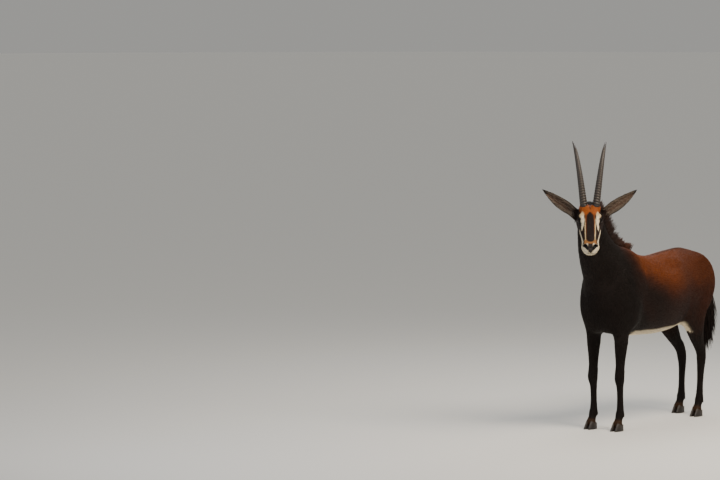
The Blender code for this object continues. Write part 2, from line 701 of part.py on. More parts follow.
def leg_cutter(name, grow, kind, collection):
    """The room a leg fills: a block whose upper face slopes under the trunk."""
    point, normal, reach_x, reach_y = LEG_CUT[name.split("_")[0]]
    sign = 1 if "left" in name else -1
    mirror = np.array((sign, 1, 1))
    point = np.array(point) * mirror
    normal = unit(np.array(normal) * mirror)
    corners = []
    for i, j in ((0, 0), (1, 0), (1, 1), (0, 1)):
        x = (reach_x[i] + grow * (2 * i - 1)) * sign
        y = reach_y[j] + grow * (2 * j - 1)
        slope = normal[0] * (x - point[0]) + normal[1] * (y - point[1])
        corners.append((x, y, point[2] - slope / normal[2] + grow))
    low = [np.array((x, y, -FOOT_REACH)) for x, y, _ in corners]
    high = [np.array(corner) for corner in corners]
    return loft_object(f"{name}_{kind}", [low, high], collection)


def part_legs(flesh, cutters):
    """The legs parted from the trunk, and cut off over the hooves."""
    tilt = math.radians(HOOF_TILT)
    for name in STEP:
        leg = flesh["leg_" + name]
        add_boolean(leg, leg_cutter(name, 0.0, "leg", cutters), "INTERSECT")
        add_boolean(flesh["trunk"], leg_cutter(name, GAP, "room", cutters), "DIFFERENCE")
        x, y, _ = foot_place(name)
        foot = look_along((x, y, HOOF_HEIGHT + GAP), (0, math.sin(tilt), math.cos(tilt)))
        low = (-FOOT_REACH,) * 3
        cut = block(name + "_foot", low, (FOOT_REACH, FOOT_REACH, 0.0), foot, cutters)
        add_boolean(leg, cut, "DIFFERENCE")


def centre_over_origin(parts, cutters):
    """Everything moved so that the whole outline stands centred over the origin."""
    corners = []
    for thing in parts.objects:
        points = np.array([vertex.co for vertex in thing.data.vertices])
        corners += [points.min(0), points.max(0)]
    middle = (np.min(corners, axis=0) + np.max(corners, axis=0)) / 2
    shift = Matrix.Translation((-middle[0], -middle[1], 0))
    for thing in list(parts.objects) + list(cutters.objects):
        thing.data.transform(shift)


def build():
    """Build every solid."""
    for thing in list(bpy.data.objects):
        bpy.data.objects.remove(thing)
    scene = bpy.context.scene
    parts = bpy.data.collections.new("sable_antelope")
    cutters = bpy.data.collections.new("cutters")
    scene.collection.children.link(parts)
    scene.collection.children.link(cutters)

    frame = head_frame()
    shapes = body_shapes(frame)
    whole = whole_flesh(shapes, cutters)

    flesh = {}
    for name in FLESH_LOOK:
        thing = whole.copy()
        thing.data = whole.data.copy()
        thing.name = name
        parts.objects.link(thing)
        flesh[name] = thing
    part_head_and_neck(flesh, frame, cutters)
    part_legs(flesh, cutters)

    for side, word in ((1, "left"), (-1, "right")):
        horn = loft_object("horn_" + word, horn_rings(side, frame), parts)
        ear = loft_object("ear_" + word, ear_rings(side, frame), parts)
        eye = eye_object("eye_" + word, side, frame, parts)
        for thing, look in ((horn, HORN_LOOK), (ear, EAR_LOOK), (eye, EYE_LOOK)):
            paint(thing, look)
            add_room(thing, flesh["head"], cutters)

    for name in STEP:
        for inner, word in ((1, "right_claw"), (-1, "left_claw")):
            hoof = loft_object(f"hoof_{name}_{word}", hoof_rings(name, inner), parts)
            paint(hoof, HOOF_LOOK)

    bm = bmesh.new()
    tail_tube().loft(bm, turns=10)
    tail = mesh_object("tail", bm, parts)
    paint(tail, HAIR_LOOK)
    add_room(tail, flesh["trunk"], cutters)

    for name, thing in flesh.items():
        paint(thing, FLESH_LOOK[name])
    bpy.data.objects.remove(whole)
    centre_over_origin(parts, cutters)
    for thing in cutters.objects:
        thing.hide_render = True
        thing.display_type = "WIRE"


build()
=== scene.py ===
"""Sable antelope, life size, standing still with its head turned to its left.

One skin carries the folds, lids and markings and lies inside the frame's flesh solids.
The coat stands on it in short locks, with a mane, ear hair and a tail brush of longer ones.
Eyes, horns and hooves are pieces of their own. Metres, +Z up, the animal facing -Y.
"""
import json
import math

import bmesh
import bpy
import numpy as np
from mathutils import Euler, Matrix, Vector, noise

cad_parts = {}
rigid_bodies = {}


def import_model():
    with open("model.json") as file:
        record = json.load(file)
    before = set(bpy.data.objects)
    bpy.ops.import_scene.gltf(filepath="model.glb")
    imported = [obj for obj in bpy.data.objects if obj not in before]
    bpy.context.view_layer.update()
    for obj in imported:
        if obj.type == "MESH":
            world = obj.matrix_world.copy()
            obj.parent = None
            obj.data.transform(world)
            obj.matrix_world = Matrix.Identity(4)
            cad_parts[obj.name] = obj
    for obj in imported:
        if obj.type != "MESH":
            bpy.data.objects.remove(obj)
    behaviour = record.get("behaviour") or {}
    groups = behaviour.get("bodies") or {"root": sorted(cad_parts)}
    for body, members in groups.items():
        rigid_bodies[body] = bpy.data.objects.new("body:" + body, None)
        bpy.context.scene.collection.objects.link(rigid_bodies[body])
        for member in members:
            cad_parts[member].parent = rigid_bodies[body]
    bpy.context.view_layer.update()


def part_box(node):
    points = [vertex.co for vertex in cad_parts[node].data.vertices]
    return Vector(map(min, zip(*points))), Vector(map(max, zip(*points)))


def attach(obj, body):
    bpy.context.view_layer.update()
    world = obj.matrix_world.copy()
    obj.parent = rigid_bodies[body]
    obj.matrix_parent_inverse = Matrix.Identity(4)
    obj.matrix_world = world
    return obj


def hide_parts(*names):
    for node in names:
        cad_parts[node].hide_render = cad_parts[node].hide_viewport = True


for thing in list(bpy.data.objects):
    bpy.data.objects.remove(thing)
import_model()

# ---------------------------------------------------------------- the body's sizes
WITHERS_Z = 1.235
BACK_Z = 1.175
CROUP_Z = 1.214
BELLY_Z = 0.625
CHEST_HALF = 0.170
BELLY_HALF = 0.232
TRUNK_MIDDLE = 0.47          # height of the widest line, as a share of the trunk's depth

HEAD_AT = (0.036, -0.708, 1.555)
HEAD_YAW = 35.0              # degrees to the animal's left
HEAD_PITCH = 40.0            # degrees down
HEAD_LENGTH = 0.415
EYE_AT = (0.140, 0.0645, 0.016)
EYE_RADIUS = 0.0205
HORN_AT = (0.042, 0.041, 0.055)
HORN_LENGTH = 0.590
HORN_RADIUS = 0.0262
HORN_LEAN = (2.0, 76.0)      # degrees back at the root and at the tip
HORN_SPREAD = 7.2
HORN_RINGS = 25
EAR_AT = (0.034, 0.056, -0.020)
EAR_LENGTH = 0.312
EAR_HALF = 0.041
EAR_RISE = 31.5
HOOF_LENGTH = 0.104
HOOF_HALF = 0.0190
HOOF_TOP_LENGTH = 0.066
HOOF_TOP_HALF = 0.0165
HOOF_HEIGHT = 0.050
HOOF_TILT = 12.0

GRAIN = 0.012                # grain of the skin over the body
BODY_EASE = 16               # rounds of easing over the trunk and neck
COAT_DEPTH = 0.0045          # the skin lies this far inside the solids on the body
FACE_DEPTH = 0.0018          # and this far on the face and the lower legs
EYE_SIZE = 0.0199            # the eyeball's radius
EYE_BULGE = 0.0011           # how far its clear front stands out
EYE_SIDES = 56
IRIS = 0.0128                # the iris's radius
PUPIL = (0.0068, 0.0034)     # the pupil's half length and half height
EAR_SAG = 0.010              # the ear's middle line hangs this far below the line from its root
HORN_SIDES = 32
HORN_RINGED = 0.72           # the share of the horn that the rings are spread over
RING_DEPTH = 0.0046          # how far the rings stand out
CLAW_SIDES = 28
SIDES = {1: "left", -1: "right"}

# Lengths of the hair, and how the locks are made and set.
BODY_HAIR = 0.021
BELLY_HAIR = 0.006           # this much longer under the belly
NECK_HAIR = 0.004            # on the neck
THROAT_HAIR = 0.012          # and again down the throat
LEG_HAIR = 0.0085
TAIL_HAIR = 0.022
BROW_HAIR = 0.015
CHEEK_HAIR = 0.0085
NOSE_HAIR = 0.0022           # this much shorter on the nose
EAR_BACK_HAIR = 0.010
HOOF_HAIR_Z = 0.052          # no locks grow lower than this, on the hooves
LID_BARE = 1.30              # nor within this many openings of the eye
LOCK_PATCH = 0.003           # each lock's share of the unwrapped square
LOCK_WIDE = 0.17             # a lock's width and rise, as shares of its length
LOCK_RISE = 0.12
LOCK_STRAY = (0.12, 0.04, 0.15)      # how far locks turn out of the lie, in radians
LOCK_LIFT = (0, -0.035, 0)
LONG_STRAY = (0.8, 0.08, 0.08)
# Width and rise of the longer locks, and the length of the hair in the ear and of the lashes.
MANE_LOCK = (0.0034, 0.005)
BRUSH_LOCK = (0.0042, 0.006)
EAR_LOCK = (0.0013, 0.0016)
EAR_HAIR_LENGTH = 0.020
LASH = (0.0085, 0.0006, 0.0006)
# Stations of a lock from root to tip, as shares of its sizes: along, half width, the height of
# its two edges, and of its ridge above them.
SHORT_LOCK = [(0.0, 0.32, -0.45, 0.30), (0.45, 0.50, 0.25, 0.45), (1.0, 0, 0.40)]
LONG_LOCK = [
    (0.0, 0.40, -0.30, 0.6),
    (0.22, 0.50, -0.16, 0.7),
    (0.50, 0.46, 0.0, 0.7),
    (0.78, 0.30, -0.10, 0.5),
    (1.0, 0, 0.0),
]
MANE_END = -0.188            # where the last roots of the mane stand on the withers
MANE_HALF = 0.019            # half the width of the strip that the mane grows from

# The view: degrees round and up, metres away, and metres across at the animal.
VIEW_AZIMUTH = 37.0
VIEW_ELEVATION = 5.0
VIEW_FAR = 30.0
VIEW_WIDE = 5.04
VIEW_AIM = (-1.9670, 1.2810)     # metres to the right of the body and above it
FLOOR_REACH = 60.0
# Lamps: name, degrees round and up, metres away, size, watts and colour.
LAMPS = [
    ("key", 72, 50, 4.5, 2.2, 300, "FFF1DE"),
    ("fill", -15, 25, 5.0, 3.2, 60, "EAF1FF"),
    ("rim", 205, 45, 4.5, 2.6, 70, "FFFFFF"),
]
SKY_STRENGTH = 0.62

# Trunk from chest to rump: y, top, bottom, half width, squareness above and below.
TRUNK = [
    (-0.560, 1.040, 0.810, 0.060, 1.9, 2.0),
    (-0.510, 1.125, 0.735, 0.108, 1.9, 2.1),
    (-0.420, 1.205, 0.680, 0.148, 1.8, 2.1),
    (-0.310, WITHERS_Z, 0.650, CHEST_HALF, 1.7, 2.2),
    (-0.190, 1.215, 0.634, 0.192, 1.8, 2.2),
    (-0.060, 1.187, 0.628, 0.218, 1.9, 2.2),
    (0.085, BACK_Z, BELLY_Z, BELLY_HALF, 2.0, 2.2),
    (0.240, 1.187, 0.640, 0.226, 2.0, 2.2),
    (0.380, 1.208, 0.686, 0.208, 1.8, 2.2),
    (0.490, CROUP_Z, 0.745, 0.192, 1.7, 2.1),
    (0.590, 1.186, 0.800, 0.174, 1.7, 2.0),
    (0.655, 1.150, 0.845, 0.145, 1.7, 2.0),
    (0.696, 1.100, 0.905, 0.098, 1.7, 2.0),
    (0.712, 1.050, 0.955, 0.046, 1.7, 2.0),
]
# Neck from the shoulders to the skull: place, half width, toward the throat, toward the nape.
NECK = [
    (0.000, -0.290, 0.990, 0.155, 0.225, 0.205),
    (0.000, -0.410, 1.070, 0.160, 0.208, 0.211),
    (0.000, -0.510, 1.165, 0.134, 0.185, 0.187),
    (0.004, -0.590, 1.270, 0.114, 0.160, 0.160),
    (0.014, -0.648, 1.375, 0.099, 0.135, 0.138),
    (0.028, -0.692, 1.465, 0.085, 0.108, 0.116),
    (0.040, -0.722, 1.525, 0.070, 0.070, 0.090),
]
# Head, from the skull to the nose: along, line, half width, up, down, squareness up and down.
HEAD = [
    (-0.015, -0.020, 0.050, 0.036, 0.046, 2.0, 2.0),
    (0.030, -0.015, 0.068, 0.062, 0.073, 2.1, 2.0),
    (0.070, -0.008, 0.072, 0.078, 0.097, 2.2, 2.1),
    (0.110, -0.008, 0.073, 0.080, 0.101, 2.3, 2.2),
    (0.150, -0.006, 0.072, 0.074, 0.096, 2.4, 2.3),
    (0.200, -0.004, 0.070, 0.063, 0.086, 2.5, 2.3),
    (0.255, -0.003, 0.067, 0.054, 0.076, 2.5, 2.3),
    (0.308, -0.003, 0.061, 0.047, 0.068, 2.4, 2.3),
    (0.350, -0.004, 0.054, 0.043, 0.062, 2.3, 2.3),
    (0.380, -0.007, 0.049, 0.039, 0.054, 2.2, 2.2),
    (HEAD_LENGTH - 0.018, -0.010, 0.038, 0.028, 0.039, 2.1, 2.1),
]
# Legs of the left side, from the body down: place, half width, toward the front, toward the back.
FRONT_LEG = [
    (0.088, -0.330, 1.090, 0.046, 0.080, 0.080),
    (0.110, -0.395, 0.980, 0.058, 0.105, 0.118),
    (0.116, -0.435, 0.860, 0.058, 0.095, 0.120),
    (0.114, -0.438, 0.750, 0.052, 0.076, 0.104),
    (0.112, -0.434, 0.655, 0.045, 0.060, 0.076),
    (0.110, -0.436, 0.560, 0.037, 0.047, 0.053),
    (0.108, -0.440, 0.460, 0.030, 0.036, 0.038),
    (0.107, -0.444, 0.398, 0.033, 0.036, 0.033),
    (0.107, -0.446, 0.350, 0.033, 0.037, 0.034),
    (0.106, -0.441, 0.300, 0.024, 0.026, 0.029),
    (0.106, -0.438, 0.220, 0.022, 0.023, 0.027),
    (0.106, -0.438, 0.148, 0.025, 0.025, 0.031),
    (0.106, -0.441, 0.114, 0.031, 0.028, 0.035),
    (0.106, -0.456, 0.078, 0.027, 0.025, 0.027),
    (0.106, -0.468, 0.048, 0.036, 0.033, 0.036),
]
HIND_LEG = [
    (0.085, 0.460, 1.045, 0.062, 0.125, 0.155),
    (0.116, 0.492, 0.955, 0.077, 0.160, 0.182),
    (0.130, 0.486, 0.860, 0.078, 0.158, 0.176),
    (0.134, 0.475, 0.760, 0.069, 0.135, 0.138),
    (0.128, 0.492, 0.665, 0.055, 0.102, 0.098),
    (0.120, 0.525, 0.580, 0.042, 0.068, 0.068),
    (0.114, 0.564, 0.508, 0.032, 0.045, 0.047),
    (0.110, 0.596, 0.452, 0.031, 0.036, 0.047),
    (0.108, 0.606, 0.400, 0.031, 0.034, 0.039),
    (0.107, 0.604, 0.340, 0.026, 0.030, 0.031),
    (0.106, 0.598, 0.240, 0.022, 0.026, 0.027),
    (0.105, 0.592, 0.158, 0.025, 0.026, 0.031),
    (0.105, 0.588, 0.120, 0.031, 0.029, 0.035),
    (0.105, 0.573, 0.082, 0.027, 0.026, 0.027),
    (0.105, 0.559, 0.050, 0.036, 0.033, 0.036),
]
# How far each leg's foot stands from the table's place, forward being negative.
STEP = {"front_left": 0.012, "front_right": 0.0, "hind_left": 0.0, "hind_right": 0.090}
# Mane along the nape: place, half width, depth below its line and height above it.
MANE = [
    (0.044, -0.640, 1.558, 0.014, 0.026, 0.060),
    (0.034, -0.590, 1.515, 0.017, 0.038, 0.070),
    (0.024, -0.530, 1.448, 0.019, 0.046, 0.080),
    (0.014, -0.460, 1.365, 0.020, 0.050, 0.080),
    (0.006, -0.390, 1.292, 0.020, 0.052, 0.070),
    (0.002, -0.310, 1.243, 0.020, 0.054, 0.060),
    (0.000, -0.240, 1.222, 0.019, 0.060, 0.054),
    (0.000, -0.195, 1.209, 0.018, 0.060, 0.064),
    (0.000, -0.165, 1.202, 0.016, 0.056, 0.064),
]
# Tail without its brush: place, half width, forward, backward.
TAIL = [
    (0.000, 0.640, 1.092, 0.034, 0.034, 0.030),
    (0.002, 0.716, 1.080, 0.029, 0.027, 0.025),
    (0.012, 0.774, 1.042, 0.020, 0.019, 0.019),
    (0.030, 0.810, 0.965, 0.017, 0.017, 0.017),
    (0.040, 0.814, 0.880, 0.016, 0.016, 0.016),
    (0.038, 0.800, 0.780, 0.015, 0.015, 0.015),
    (0.030, 0.780, 0.680, 0.014, 0.014, 0.014),
    (0.024, 0.766, 0.600, 0.012, 0.012, 0.012),
]
# Muscles and bones that show: place, half sizes, turn in degrees, how softly they blend in.
MASSES = [
    ((0.088, -0.482, 0.925), (0.058, 0.078, 0.120), (-20, 0, 0), 0.09),
    ((0.134, -0.365, 0.830), (0.044, 0.105, 0.110), (25, 0, 0), 0.08),
    ((0.046, -0.500, 0.800), (0.062, 0.075, 0.110), (0, 0, 0), 0.09),
    ((0.094, 0.602, 0.975), (0.076, 0.124, 0.158), (10, 0, 0), 0.10),
    ((0.136, 0.385, 0.780), (0.048, 0.080, 0.110), (20, 0, 0), 0.08),
    ((0.075, -0.300, 1.130), (0.050, 0.110, 0.080), (0, 0, 0), 0.09),
]
HEAD_MASSES = [
    ((0.136, 0.052, 0.024), (0.038, 0.027, 0.032), (0, 0, 0), 0.03),
    ((0.092, 0.051, -0.045), (0.066, 0.025, 0.052), (0, 10, 0), 0.04),
    ((0.048, 0.041, 0.052), (0.032, 0.027, 0.022), (0, 0, 0), 0.03),
    ((0.366, 0.030, -0.006), (0.034, 0.024, 0.030), (0, 0, 0), 0.025),
    ((0.360, 0.015, -0.048), (0.036, 0.028, 0.021), (0, 0, 0), 0.025),
]
# Small swellings and hollows over the body, left side: place, reach each way, how far out.
BODY_RELIEF = [
    ((0.150, 0.160, 1.105), (0.070, 0.080, 0.055), -0.020),    # hollow of the flank
    ((0.150, 0.300, 1.140), (0.050, 0.035, 0.035), 0.007),     # point of the hip
    ((0.150, -0.190, 1.060), (0.060, 0.035, 0.110), -0.010),   # behind the shoulder blade
    ((0.180, -0.250, 0.830), (0.070, 0.050, 0.120), -0.009),   # behind the elbow
    ((0.120, -0.330, 1.100), (0.050, 0.018, 0.090), 0.004),    # spine of the shoulder blade
    ((0.150, -0.400, 0.960), (0.050, 0.050, 0.070), 0.006),    # muscle of the upper arm
    ((0.090, -0.530, 1.010), (0.050, 0.030, 0.100), -0.010),   # groove before the shoulder
    ((0.170, 0.430, 0.960), (0.060, 0.060, 0.110), 0.006),     # thigh
    ((0.150, 0.575, 0.900), (0.060, 0.022, 0.130), -0.012),    # groove down the buttock
    ((0.160, 0.300, 0.760), (0.070, 0.035, 0.110), -0.012),    # fold before the stifle
    ((0.030, 0.555, 0.590), (0.140, 0.012, 0.060), -0.006),    # before the tendon of the hock
    ((0.110, 0.610, 0.500), (0.040, 0.018, 0.025), 0.004),     # point of the hock
    ((0.107, -0.480, 0.380), (0.040, 0.015, 0.030), 0.003),    # front of the knee
    ((0.107, -0.412, 0.400), (0.040, 0.010, 0.020), 0.004),    # back of the knee
    ((0.130, -0.430, 0.240), (0.012, 0.008, 0.080), -0.002),   # between bone and tendon, fore
    ((0.130, 0.602, 0.250), (0.012, 0.008, 0.080), -0.002),    # between bone and tendon, hind
]
# The same over the head, in its own axes: along, out and up.
HEAD_RELIEF = [
    ((0.128, 0.062, 0.048), (0.034, 0.022, 0.014), 0.0050),    # brow ridge
    ((0.185, 0.066, 0.022), (0.020, 0.022, 0.018), -0.0040),   # hollow before the eye
    ((0.150, 0.082, -0.022), (0.034, 0.022, 0.012), -0.0028),  # below the eye
    ((0.205, 0.070, -0.020), (0.050, 0.025, 0.008), 0.0034),   # cheekbone
    ((0.080, 0.078, -0.055), (0.042, 0.030, 0.034), 0.0045),   # chewing muscle
    ((0.140, 0.074, -0.075), (0.014, 0.030, 0.030), -0.0030),  # its front edge
    ((0.090, 0.070, 0.040), (0.022, 0.020, 0.016), -0.0040),   # temple
    ((0.260, 0.030, 0.052), (0.090, 0.009, 0.014), 0.0026),    # edge of the nose's flat top
    ((0.250, 0.000, 0.056), (0.100, 0.014, 0.014), -0.0012),   # the flat top
    ((0.290, 0.062, 0.005), (0.040, 0.020, 0.016), -0.0028),   # side of the nose
    ((0.300, 0.058, -0.045), (0.040, 0.020, 0.014), -0.0024),  # above the lower jaw
    ((0.372, 0.047, -0.012), (0.030, 0.018, 0.012), 0.0030),   # upper lip
    ((0.350, 0.045, -0.046), (0.032, 0.020, 0.010), 0.0020),   # lower lip
    ((0.060, 0.000, 0.072), (0.030, 0.010, 0.012), -0.0030),   # between the horns
    ((0.010, 0.000, 0.070), (0.030, 0.022, 0.034), -0.0140),   # behind the horns
    ((0.042, 0.041, 0.075), (0.030, 0.032, 0.012), 0.0020),    # hair round the horn's foot
]
# Strokes over the head as a painter would lay them: points (along, out, up, half width).
NOSE_PAD = [(0.386, 0.0, 0.031, 0.008), (0.396, 0.0, 0.022, 0.018), (0.408, 0.0, 0.009, 0.014),
            (0.418, 0.0, -0.003, 0.007)]
NOSE_WING = [(0.388, 0.033, 0.022, 0.009), (0.403, 0.019, 0.008, 0.009), (0.417, 0.002, -0.006, 0.007)]
MOUTH = [(0.424, 0.0, -0.016, 0.0), (0.409, 0.028, -0.020, 0.0), (0.376, 0.045, -0.025, 0.0),
         (0.338, 0.053, -0.032, 0.0), (0.306, 0.058, -0.037, 0.0)]
PHILTRUM = [(0.400, 0.0, 0.018, 0.0), (0.414, 0.0, 0.004, 0.0), (0.424, 0.0, -0.012, 0.0)]
LEAF_STREAK = [(0.148, 0.052, 0.062, 0.010), (0.180, 0.054, 0.054, 0.015), (0.212, 0.056, 0.042, 0.013),
               (0.250, 0.055, 0.031, 0.003)]
CHEEK_STREAK = [(0.188, 0.078, -0.030, 0.006), (0.210, 0.073, -0.016, 0.012),
                (0.255, 0.068, 0.000, 0.011), (0.300, 0.062, 0.006, 0.012), (0.350, 0.054, 0.010, 0.014)]
NOSE_LINE = [(0.165, 0.035, 0.061, 0.002), (0.230, 0.035, 0.050, 0.0036), (0.300, 0.034, 0.041, 0.0040),
             (0.365, 0.033, 0.033, 0.005)]
BROW_SPOT = [(0.100, 0.060, 0.060, 0.012), (0.128, 0.058, 0.062, 0.018), (0.146, 0.056, 0.062, 0.014)]
BLAZE = [(0.118, 0.0, 0.072, 0.010), (0.140, 0.0, 0.070, 0.022), (0.190, 0.0, 0.062, 0.027),
         (0.334, 0.0, 0.042, 0.028)]
TEAR_LINE = [(0.160, 0.074, 0.014, 0.008), (0.205, 0.068, 0.022, 0.008), (0.262, 0.062, 0.022, 0.006),
             (0.330, 0.055, 0.027, 0.004)]
LIP_AND_CHIN = [(0.330, 0.040, -0.060, 0.024), (0.372, 0.020, -0.045, 0.028), (0.402, 0.025, -0.008, 0.022),
                (0.372, 0.050, 0.000, 0.016)]
CHIN = [(0.335, 0.0, -0.066, 0.030), (0.392, 0.0, -0.044, 0.024), (0.424, 0.0, -0.014, 0.014)]
EYE_NOTCH = [(0.150, 0.080, 0.036, 0.012), (0.160, 0.069, 0.050, 0.010), (0.164, 0.060, 0.058, 0.004)]
JAW = [(0.200, 0.050, -0.088, 0.018), (0.260, 0.046, -0.070, 0.022), (0.330, 0.036, -0.056, 0.026)]
NOSTRIL_AT = (0.386, 0.0335, 0.024)
NOSTRIL_HALF = (0.0125, 0.0075)

# The eye's opening: the way it looks, in the head's axes, and its half sizes.
EYE_LOOKS = (0.22, 0.95, 0.18)
EYE_SLANT = -6.0             # degrees that the front corner sits low
LID_HALF = 0.0215
LID_UP = 0.0124
LID_DOWN = 0.0100
LID_THICK = 0.0020

# ---------------------------------------------------------------- colours
RUST = "A0531A"
CHESTNUT = "77390C"
BROWN = "431E0B"
DARK_BROWN = "24110A"
BLACK_HAIR = "170E0A"
MANE_HAIR = "2C170D"
BLAZE_HAIR = "20110B"
WHITE_HAIR = "F4E5C6"
CREAM_HAIR = "DCC497"
TAN_HAIR = "9C6A3A"
NOSE_SKIN = "0E0C0C"
NOSE_GREY = "2E2826"
EAR_SKIN = "5A463A"
EAR_HAIR = "87796B"
HORN_DARK = "15100D"
HORN_WORN = "43372D"
HORN_TIP = "302924"
HOOF_DARK = "17120F"
HOOF_TOP = "2A211A"
IRIS_BROWN = "160B06"
IRIS_RAYS = "2E170B"
IRIS_EDGE = "080505"
PUPIL_BLACK = "030304"
FLOOR_GREY = "D9D7D2"
SKY_LOW = "C6C5C1"
SKY_HIGH = "F0F0EE"


def linear(code):
    """An sRGB hex colour as linear red, green and blue."""
    parts = np.array([int(code[i:i + 2], 16) for i in (0, 2, 4)]) / 255
    return np.where(parts <= 0.04045, parts / 12.92, ((parts + 0.055) / 1.055) ** 2.4)


# ---------------------------------------------------------------- frames
def unit(vector):
    """The vector at length one."""
    return vector / np.maximum(np.linalg.norm(vector, axis=-1, keepdims=True), 1e-12)


def head_frame():
    """Axes along the muzzle, to the animal's left and out of the forehead, set at the skull."""
    yaw = math.radians(HEAD_YAW)
    pitch = math.radians(HEAD_PITCH)
    level = np.array((math.sin(yaw), -math.cos(yaw), 0.0))
    axes = np.eye(4)
    axes[:3, 0] = level * math.cos(pitch) - np.array((0, 0, math.sin(pitch)))
    axes[:3, 1] = (math.cos(yaw), math.sin(yaw), 0.0)
    axes[:3, 2] = level * math.sin(pitch) + np.array((0, 0, math.cos(pitch)))
    axes[:3, 3] = HEAD_AT
    return axes


HEAD_AXES = head_frame()


def placed(point):
    """A point of the head's axes, in the body's."""
    return HEAD_AXES[:3, :3] @ np.asarray(point, float) + HEAD_AXES[:3, 3]


def in_head(points):
    """Points of the frame, in the head's axes."""
    return (points - SHIFT - HEAD_AXES[:3, 3]) @ HEAD_AXES[:3, :3]


def in_half_head(points):
    """Points in the head's axes with its right side folded on to its left."""
    q = in_head(points)
    q[:, 1] = np.abs(q[:, 1])
    return q


def from_head(q):
    """Points of the head's axes, in the frame."""
    return q @ HEAD_AXES[:3, :3].T + HEAD_AXES[:3, 3] + SHIFT


def side_of(points):
    """1 for points on the head's left and -1 for those on its right."""
    return np.where(in_head(points)[:, 1] < 0, -1.0, 1.0)


def box_middle(node):
    """The middle of a solid of the frame."""
    low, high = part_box(node)
    return (np.array(low) + np.array(high)) / 2


# The frame stands centred over the origin. This is how far its body was moved for that.
SHIFT = box_middle("eye_left") - placed(EYE_AT)


def along_curve(rows, count):
    """Rows taken evenly along a smooth curve through the given rows."""
    rows = np.asarray(rows, float)
    ends = np.vstack([2 * rows[0] - rows[1], rows, 2 * rows[-1] - rows[-2]])
    t = np.linspace(0, 1, 16, endpoint=False)[:, None]
    parts = []
    for a, b, c, d in zip(ends, ends[1:], ends[2:], ends[3:]):
        parts.append(b + 0.5 * (c - a) * t + (a - 2.5 * b + 2 * c - 0.5 * d) * t**2
                     + (1.5 * b - 0.5 * a - 1.5 * c + 0.5 * d) * t**3)
    dense = np.vstack([*parts, rows[-1:]])
    run = np.concatenate([[0], np.cumsum(np.linalg.norm(np.diff(dense[:, :3], axis=0), axis=1))])
    at = np.linspace(0, run[-1], count)
    return np.stack([np.interp(at, run, column) for column in dense.T], axis=1)


def ease(value):
    """From 0 to 1 and level at both ends."""
    value = np.clip(value, 0, 1)
    return value * value * (3 - 2 * value)


